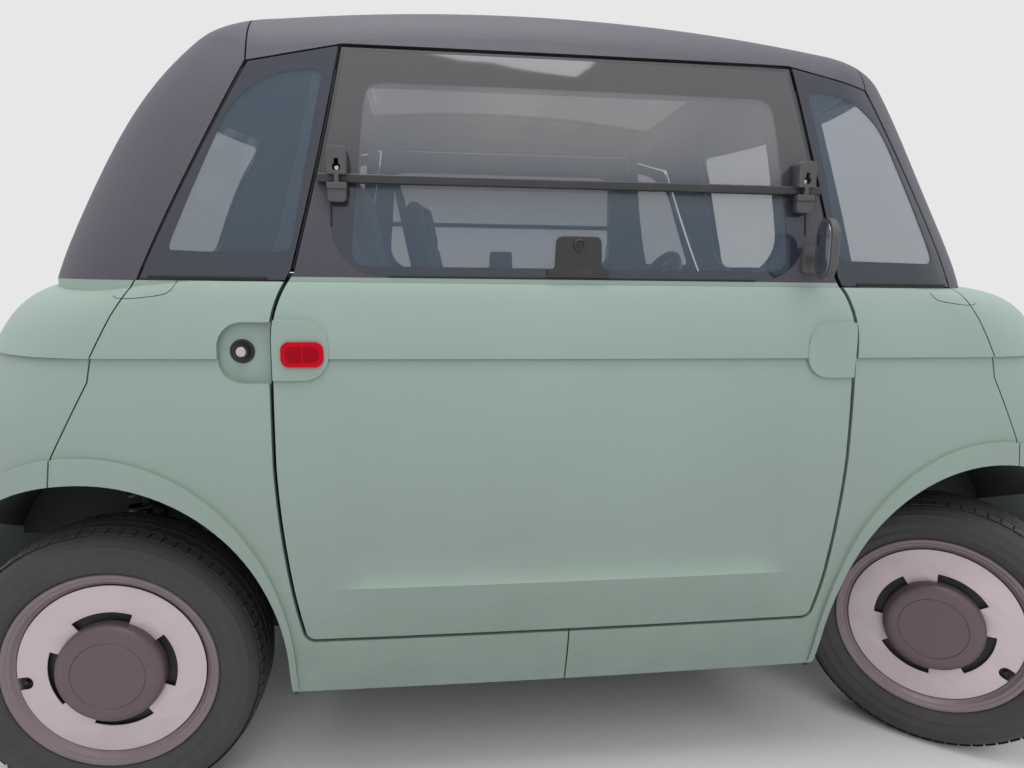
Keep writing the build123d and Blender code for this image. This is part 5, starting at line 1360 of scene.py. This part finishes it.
def press_channels(pad):
    """Press the sewn channels and the two side seams into the face of a cushion."""
    points = np.array([vertex.co for vertex in pad.data.vertices])
    low, high = points.min(0), points.max(0)
    size = high - low
    run = 2 if size[2] > size[0] else 0
    normals = np.array([vertex.normal for vertex in pad.data.vertices])
    facing = normals[:, 0] if run == 2 else normals[:, 2]
    share = (points[:, run] - low[run]) / size[run]
    sunk = np.zeros(len(points))
    for line in CHANNELS:
        sunk += np.exp(-(((share - line) * size[run]) / CHANNEL_WIDTH) ** 2)
    aside = np.abs(points[:, 1] - (low[1] + high[1]) / 2) / (size[1] / 2)
    front = np.clip((facing - 0.3) / 0.4, 0, 1)
    sunk *= front * np.clip((PANEL_SHARE - aside) / 0.03, 0, 1)
    sunk += 0.9 * np.exp(-(((aside - PANEL_SHARE) * size[1] / 2) / SEAM_WIDTH) ** 2) * front
    moved = points - normals * (CHANNEL_DEPTH * np.clip(sunk, 0, 1))[:, None]
    for vertex, place in zip(pad.data.vertices, moved):
        vertex.co = place
    pad.data.update()


def merged(name, pieces, material):
    """Several pieces of one finish as one mesh."""
    shape = bmesh.new()
    for piece in pieces:
        shape.from_mesh(piece.data)
        discard(piece)
    mesh = bpy.data.meshes.new(name)
    shape.to_mesh(mesh)
    shape.free()
    for polygon in mesh.polygons:
        polygon.material_index = 0
    mesh.materials.append(material)
    return add_object(name, mesh)


class MICROCAR_OT_cabin(bpy.types.Operator):
    """Coat the inner frame, floor, dashboard and running gear"""

    bl_idname = "microcar.cabin"
    bl_label = "Frame, floor and running gear"

    def execute(self, context):
        frame_black = painted_steel("frame_black", (0.030, 0.032, 0.038), 0.45,
                                    (0.05, 0.048, 0.045))
        chassis_black = painted_steel("chassis_black", (0.016, 0.016, 0.017), 0.55)
        tray = soft_black("tray_plastic", 0.022, 0.62, 300.0, 0.0004)
        alloy = cast_metal("running_alloy", (0.30, 0.30, 0.31), 0.45)
        casing = cast_metal("casing_alloy", (0.22, 0.225, 0.23), 0.5)
        coat_nodes(frame_black, "cabin_frame")
        coat_nodes(chassis_black, "chassis front_suspension rear_suspension")
        coat_nodes(tray, "floor_tub arch_liners dashboard")
        coat_nodes(alloy, "knuckle_left knuckle_right steering_rack rack_housing")
        coat_nodes(casing, "drive_unit battery")
        return {"FINISHED"}


class MICROCAR_OT_springs(bpy.types.Operator):
    """Wind the coil springs over their dampers"""

    bl_idname = "microcar.springs"
    bl_label = "Springs"

    def execute(self, context):
        steel = painted_steel("spring_black", (0.014, 0.014, 0.016), 0.4)
        damper = painted_steel("damper_grey", (0.045, 0.046, 0.05), 0.35)
        coils, bodies = [], []
        for number, (points, _) in enumerate(loose_parts(NODES["springs"])):
            spots = np.array(points)
            low, high = spots.min(0), spots.max(0)
            middle = (low + high) / 2
            wide = (high[0] - low[0]) / 2
            foot = max(point[2] for point in points if point[2] < high[2] - 0.02
                       and math.hypot(point[0] - middle[0], point[1] - middle[1]) > wide * 0.8)
            reach = wide - SPRING_WIRE
            path = []
            for step in range(int(SPRING_TURNS * SPRING_STEPS) + 1):
                angle = math.tau * step / SPRING_STEPS
                rise = step / (SPRING_TURNS * SPRING_STEPS)
                path.append((middle[0] + reach * math.cos(angle),
                             middle[1] + reach * math.sin(angle),
                             foot + SPRING_WIRE + (high[2] - foot - 2 * SPRING_WIRE) * rise))
            coils.append(path)
            section = [(0.0, low[2]), (0.015, low[2]), (0.015, low[2] + 0.02),
                       (0.021, low[2] + 0.024), (0.021, foot + 0.02), (0.009, foot + 0.022),
                       (0.009, high[2] - 0.03), (0.022, high[2] - 0.028), (0.022, high[2]),
                       (0.0, high[2])]
            seat = [(0.0, foot - 0.004), (wide, foot - 0.004), (wide, foot), (0.0, foot)]
            for name, profile in (("damper", section), ("seat", seat)):
                turned = make_piece(f"{name}_{number}", *spun(profile, 32, closed=False), damper,
                                    smooth=35.0)
                bodies.append(place_mesh(turned, Matrix.Translation((middle[0], middle[1], 0))))
        coil = path_piece("coil_springs", coils, SPRING_WIRE, steel, 10, loops=False)
        dampers = merged("dampers", bodies, damper)
        for piece in (coil, dampers):
            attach(piece, "body")
        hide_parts("springs")
        return {"FINISHED"}


def oval_part(name, section, half_wide, half_high, material, closed):
    """A turned section (share of the oval's radius, height) with an oval plan."""
    vertices, faces = spun(section, 96, closed)
    vertices = [(across * half_wide, up * half_high, out) for across, up, out in vertices]
    return make_piece(name, vertices, faces, material, smooth=35.0)


class MICROCAR_OT_lamps(bpy.types.Operator):
    """Fit the bowls, lenses and rings of the head and tail lamps"""

    bl_idname = "microcar.lamps"
    bl_label = "Lamps"

    def execute(self, context):
        bezel = soft_black("lamp_bezel", 0.014, 0.22, 120.0, 0.00004)
        chrome = bright_chrome("lamp_bowl", 0.12)
        dark = soft_black("projector_glass", 0.010, 0.05, 60.0, 0.00001)
        clear = Finish("lamp_lens")
        ribs = clear.noise(40.0, 2.0, 0.5)
        lens = clear.surface((0.80, 0.82, 0.84), 0.03 + ribs * 0.03, Alpha=0.16,
                             Specular_IOR_Level=0.8)
        diffuser = prism_lens("light_ring", (0.62, 0.64, 0.66), 0.003)
        red = prism_lens("tail_red", (0.30, 0.004, 0.008), 0.005)
        ring = [(1.0, -0.060), (1.0, -0.014), (0.975, -0.006), (0.930, -0.0018),
                (0.900, -0.0012), (0.880, -0.003), (0.870, -0.020), (0.870, -0.060)]
        bowl = [(0.0, -0.073), (0.20, -0.073), (0.35, -0.070), (0.60, -0.055), (0.80, -0.030),
                (0.868, -0.012), (0.872, -0.040), (0.872, -0.085), (0.0, -0.085)]
        light_ring = [(0.60, -0.034), (0.62, -0.026), (0.66, -0.024), (0.70, -0.027),
                      (0.71, -0.034), (0.70, -0.042), (0.61, -0.050)]
        projector = [(0.0, -0.030), (0.14, -0.034), (0.24, -0.046), (0.28, -0.060),
                     (0.28, -0.0745), (0.0, -0.0745)]
        clear_pane = [(0.0, -0.0005), (0.45, -0.0012), (0.75, -0.0028), (0.872, -0.0048),
                      (0.872, -0.0075), (0.75, -0.0055), (0.45, -0.0038), (0.0, -0.0030)]
        red_block = [(0.0, -0.0040), (0.28, -0.0040), (0.30, -0.0024), (0.60, -0.0028),
                     (0.62, -0.0046), (0.66, -0.0046), (0.68, -0.0032), (0.872, -0.0062),
                     (0.872, -0.0600), (0.0, -0.0600)]
        parts = {
            "head": [("bezel", bezel, ring, True), ("bowl", chrome, bowl, False),
                     ("light_ring", diffuser, light_ring, True),
                     ("projector", dark, projector, False), ("lens", lens, clear_pane, False)],
            "tail": [("bezel", bezel, ring, True), ("lens", red, red_block, False)],
        }
        for kind, node, slot_name, end in (("head", "headlamps", "clear_lens", 1),
                                           ("tail", "tail_lamps", "red_lens", -1)):
            low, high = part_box(node)
            half_high = (high.z - low.z) / 2
            half_wide = half_high * LAMP_OVAL[kind]
            face = high.x if end > 0 else low.x
            for name, material, section, closed in parts[kind]:
                pair = []
                for side in (-1, 1):
                    centre = Vector((face, side * (high.y - half_wide), (low.z + high.z) / 2))
                    oval = oval_part("lamp", section, half_wide, half_high, material, closed)
                    pair.append(place_mesh(oval, facing_matrix(centre, Vector((end, 0, 0)))))
                piece = merged(f"{kind}_lamp_{name}", pair, material)
                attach(piece, "body")
                if name == "bezel":
                    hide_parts(node)
        return {"FINISHED"}


class MICROCAR_OT_stage(bpy.types.Operator):
    """Lay the floor, hang the lamps and set the camera at the photograph's place"""

    bl_idname = "microcar.stage"
    bl_label = "Stage"

    def execute(self, context):
        stage = context.scene.microcar_stage
        scene = context.scene
        scene.view_settings.view_transform = "Standard"
        finish = Finish("studio_floor")
        along, aside, up = finish.axes()
        distance = (along * along + aside * aside) ** 0.5
        mottle = finish.noise(30.0, 4.0, 0.7)
        tone = finish.mix(mottle.fade(0.3, 0.7), shade(stage.floor, 0.97), stage.floor)
        far = distance.fade(3.0, 9.0)
        ground = finish.node("ShaderNodeBsdfPrincipled", inputs={
            "Base Color": tone, "Roughness": 0.7, "Specular IOR Level": 0.2})
        glow = finish.node("ShaderNodeEmission", inputs={"Color": stage.floor, "Strength": 1.0})
        blend = finish.node("ShaderNodeMixShader", inputs={0: far, 1: ground, 2: glow})
        finish.tree.links.new(blend.socket, finish.output.inputs["Surface"])
        square = [(-FLOOR_HALF, -FLOOR_HALF, 0), (FLOOR_HALF, -FLOOR_HALF, 0),
                  (FLOOR_HALF, FLOOR_HALF, 0), (-FLOOR_HALF, FLOOR_HALF, 0)]
        floor = make_piece("studio_floor", square, [(0, 1, 2, 3)], finish.material, outward=False)
        floor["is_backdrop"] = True

        world = bpy.data.worlds.new("studio_air")
        world.use_nodes = True
        scene.world = world
        nodes, links = world.node_tree.nodes, world.node_tree.links
        nodes.clear()
        rays = nodes.new("ShaderNodeLightPath")
        seen = nodes.new("ShaderNodeMath")
        seen.operation = "MAXIMUM"
        links.new(rays.outputs["Is Camera Ray"], seen.inputs[0])
        seen_too = nodes.new("ShaderNodeMath")
        seen_too.operation = "MAXIMUM"
        links.new(rays.outputs["Is Glossy Ray"], seen_too.inputs[0])
        links.new(rays.outputs["Is Transmission Ray"], seen_too.inputs[1])
        links.new(seen_too.outputs[0], seen.inputs[1])
        light = nodes.new("ShaderNodeBackground")
        light.inputs["Color"].default_value = (0.93, 0.96, 1.0, 1.0)
        light.inputs["Strength"].default_value = stage.sky
        shown = nodes.new("ShaderNodeBackground")
        shown.inputs["Color"].default_value = (*stage.floor, 1.0)
        shown.inputs["Strength"].default_value = 1.0
        blend = nodes.new("ShaderNodeMixShader")
        links.new(seen.outputs[0], blend.inputs[0])
        links.new(light.outputs[0], blend.inputs[1])
        links.new(shown.outputs[0], blend.inputs[2])
        output = nodes.new("ShaderNodeOutputWorld")
        links.new(blend.outputs[0], output.inputs["Surface"])

        for name, place, size, power, mirrored in (
                ("key_over", (-0.3, -0.9, 4.9), 3.4, stage.key, True),
                ("side_right", (0.4, -5.0, 4.2), 4.6, stage.fill, False),
                ("side_left", (0.4, 5.0, 4.2), 4.6, stage.fill, False),
                ("end_front", (5.8, 0.0, 3.4), 4.0, stage.fill * END_SHARE, False),
                ("end_rear", (-5.8, 0.0, 3.4), 4.0, stage.fill * END_SHARE, False)):
            data = bpy.data.lights.new(name, "AREA")
            data.shape = "SQUARE"
            data.size = size
            data.energy = power
            lamp = add_object(name, data)
            lamp.location = place
            aim = Vector(LAMP_AIM) - Vector(place)
            lamp.rotation_euler = aim.to_track_quat("-Z", "Y").to_euler()
            lamp.visible_glossy = mirrored

        yaw, pitch, roll = CAMERA_TURN
        forward = Vector((-math.sin(yaw) * math.cos(pitch), math.cos(yaw) * math.cos(pitch),
                          -math.sin(pitch)))
        level = Vector((math.cos(yaw), math.sin(yaw), 0))
        upright = level.cross(forward)
        right = level * math.cos(roll) + upright * math.sin(roll)
        up = upright * math.cos(roll) - level * math.sin(roll)
        data = bpy.data.cameras.new("camera")
        data.sensor_width = CAMERA_SENSOR
        data.lens = CAMERA_LENS
        camera = add_object("camera", data)
        matrix = Matrix((right, up, -forward)).transposed().to_4x4()
        matrix.translation = CAMERA_PLACE
        camera.matrix_world = matrix
        scene.camera = camera
        return {"FINISHED"}


STEPS = (MICROCAR_OT_stage, MICROCAR_OT_body, MICROCAR_OT_glass, MICROCAR_OT_tyres,
         MICROCAR_OT_wheels, MICROCAR_OT_door_trim, MICROCAR_OT_body_trim, MICROCAR_OT_seats,
         MICROCAR_OT_cabin, MICROCAR_OT_springs, MICROCAR_OT_lamps)


class MICROCAR_PT_dressing(bpy.types.Panel):
    """The sizes, colours and steps of the dressing"""

    bl_idname = "MICROCAR_PT_dressing"
    bl_label = "Microcar dressing"
    bl_space_type = "VIEW_3D"
    bl_region_type = "UI"
    bl_category = "Microcar"

    def draw(self, context):
        scene = context.scene
        for group in (scene.microcar_paint, scene.microcar_wheels, scene.microcar_cabin,
                      scene.microcar_stage):
            box = self.layout.box()
            for name in group.bl_rna.properties.keys():
                if name not in ("rna_type", "name"):
                    box.prop(group, name)
        for step in STEPS:
            self.layout.operator(step.bl_idname)


SETTINGS = {
    "microcar_paint": PaintSettings,
    "microcar_wheels": WheelSettings,
    "microcar_cabin": CabinSettings,
    "microcar_stage": StageSettings,
}


def register():
    for name, group in SETTINGS.items():
        bpy.utils.register_class(group)
        setattr(bpy.types.Scene, name, PointerProperty(type=group))
    for step in STEPS:
        bpy.utils.register_class(step)
    bpy.utils.register_class(MICROCAR_PT_dressing)


def unregister():
    bpy.utils.unregister_class(MICROCAR_PT_dressing)
    for step in reversed(STEPS):
        bpy.utils.unregister_class(step)
    for name, group in SETTINGS.items():
        delattr(bpy.types.Scene, name)
        bpy.utils.unregister_class(group)


def corners(box):
    return [list(corner) for corner in box]


def main():
    register()
    for step in STEPS:
        group, name = step.bl_idname.split(".")
        getattr(getattr(bpy.ops, group), name)()
    {"cad": corners(CAD_BOX), "visual": corners(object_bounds())}


if __name__ == "__main__":
    main()
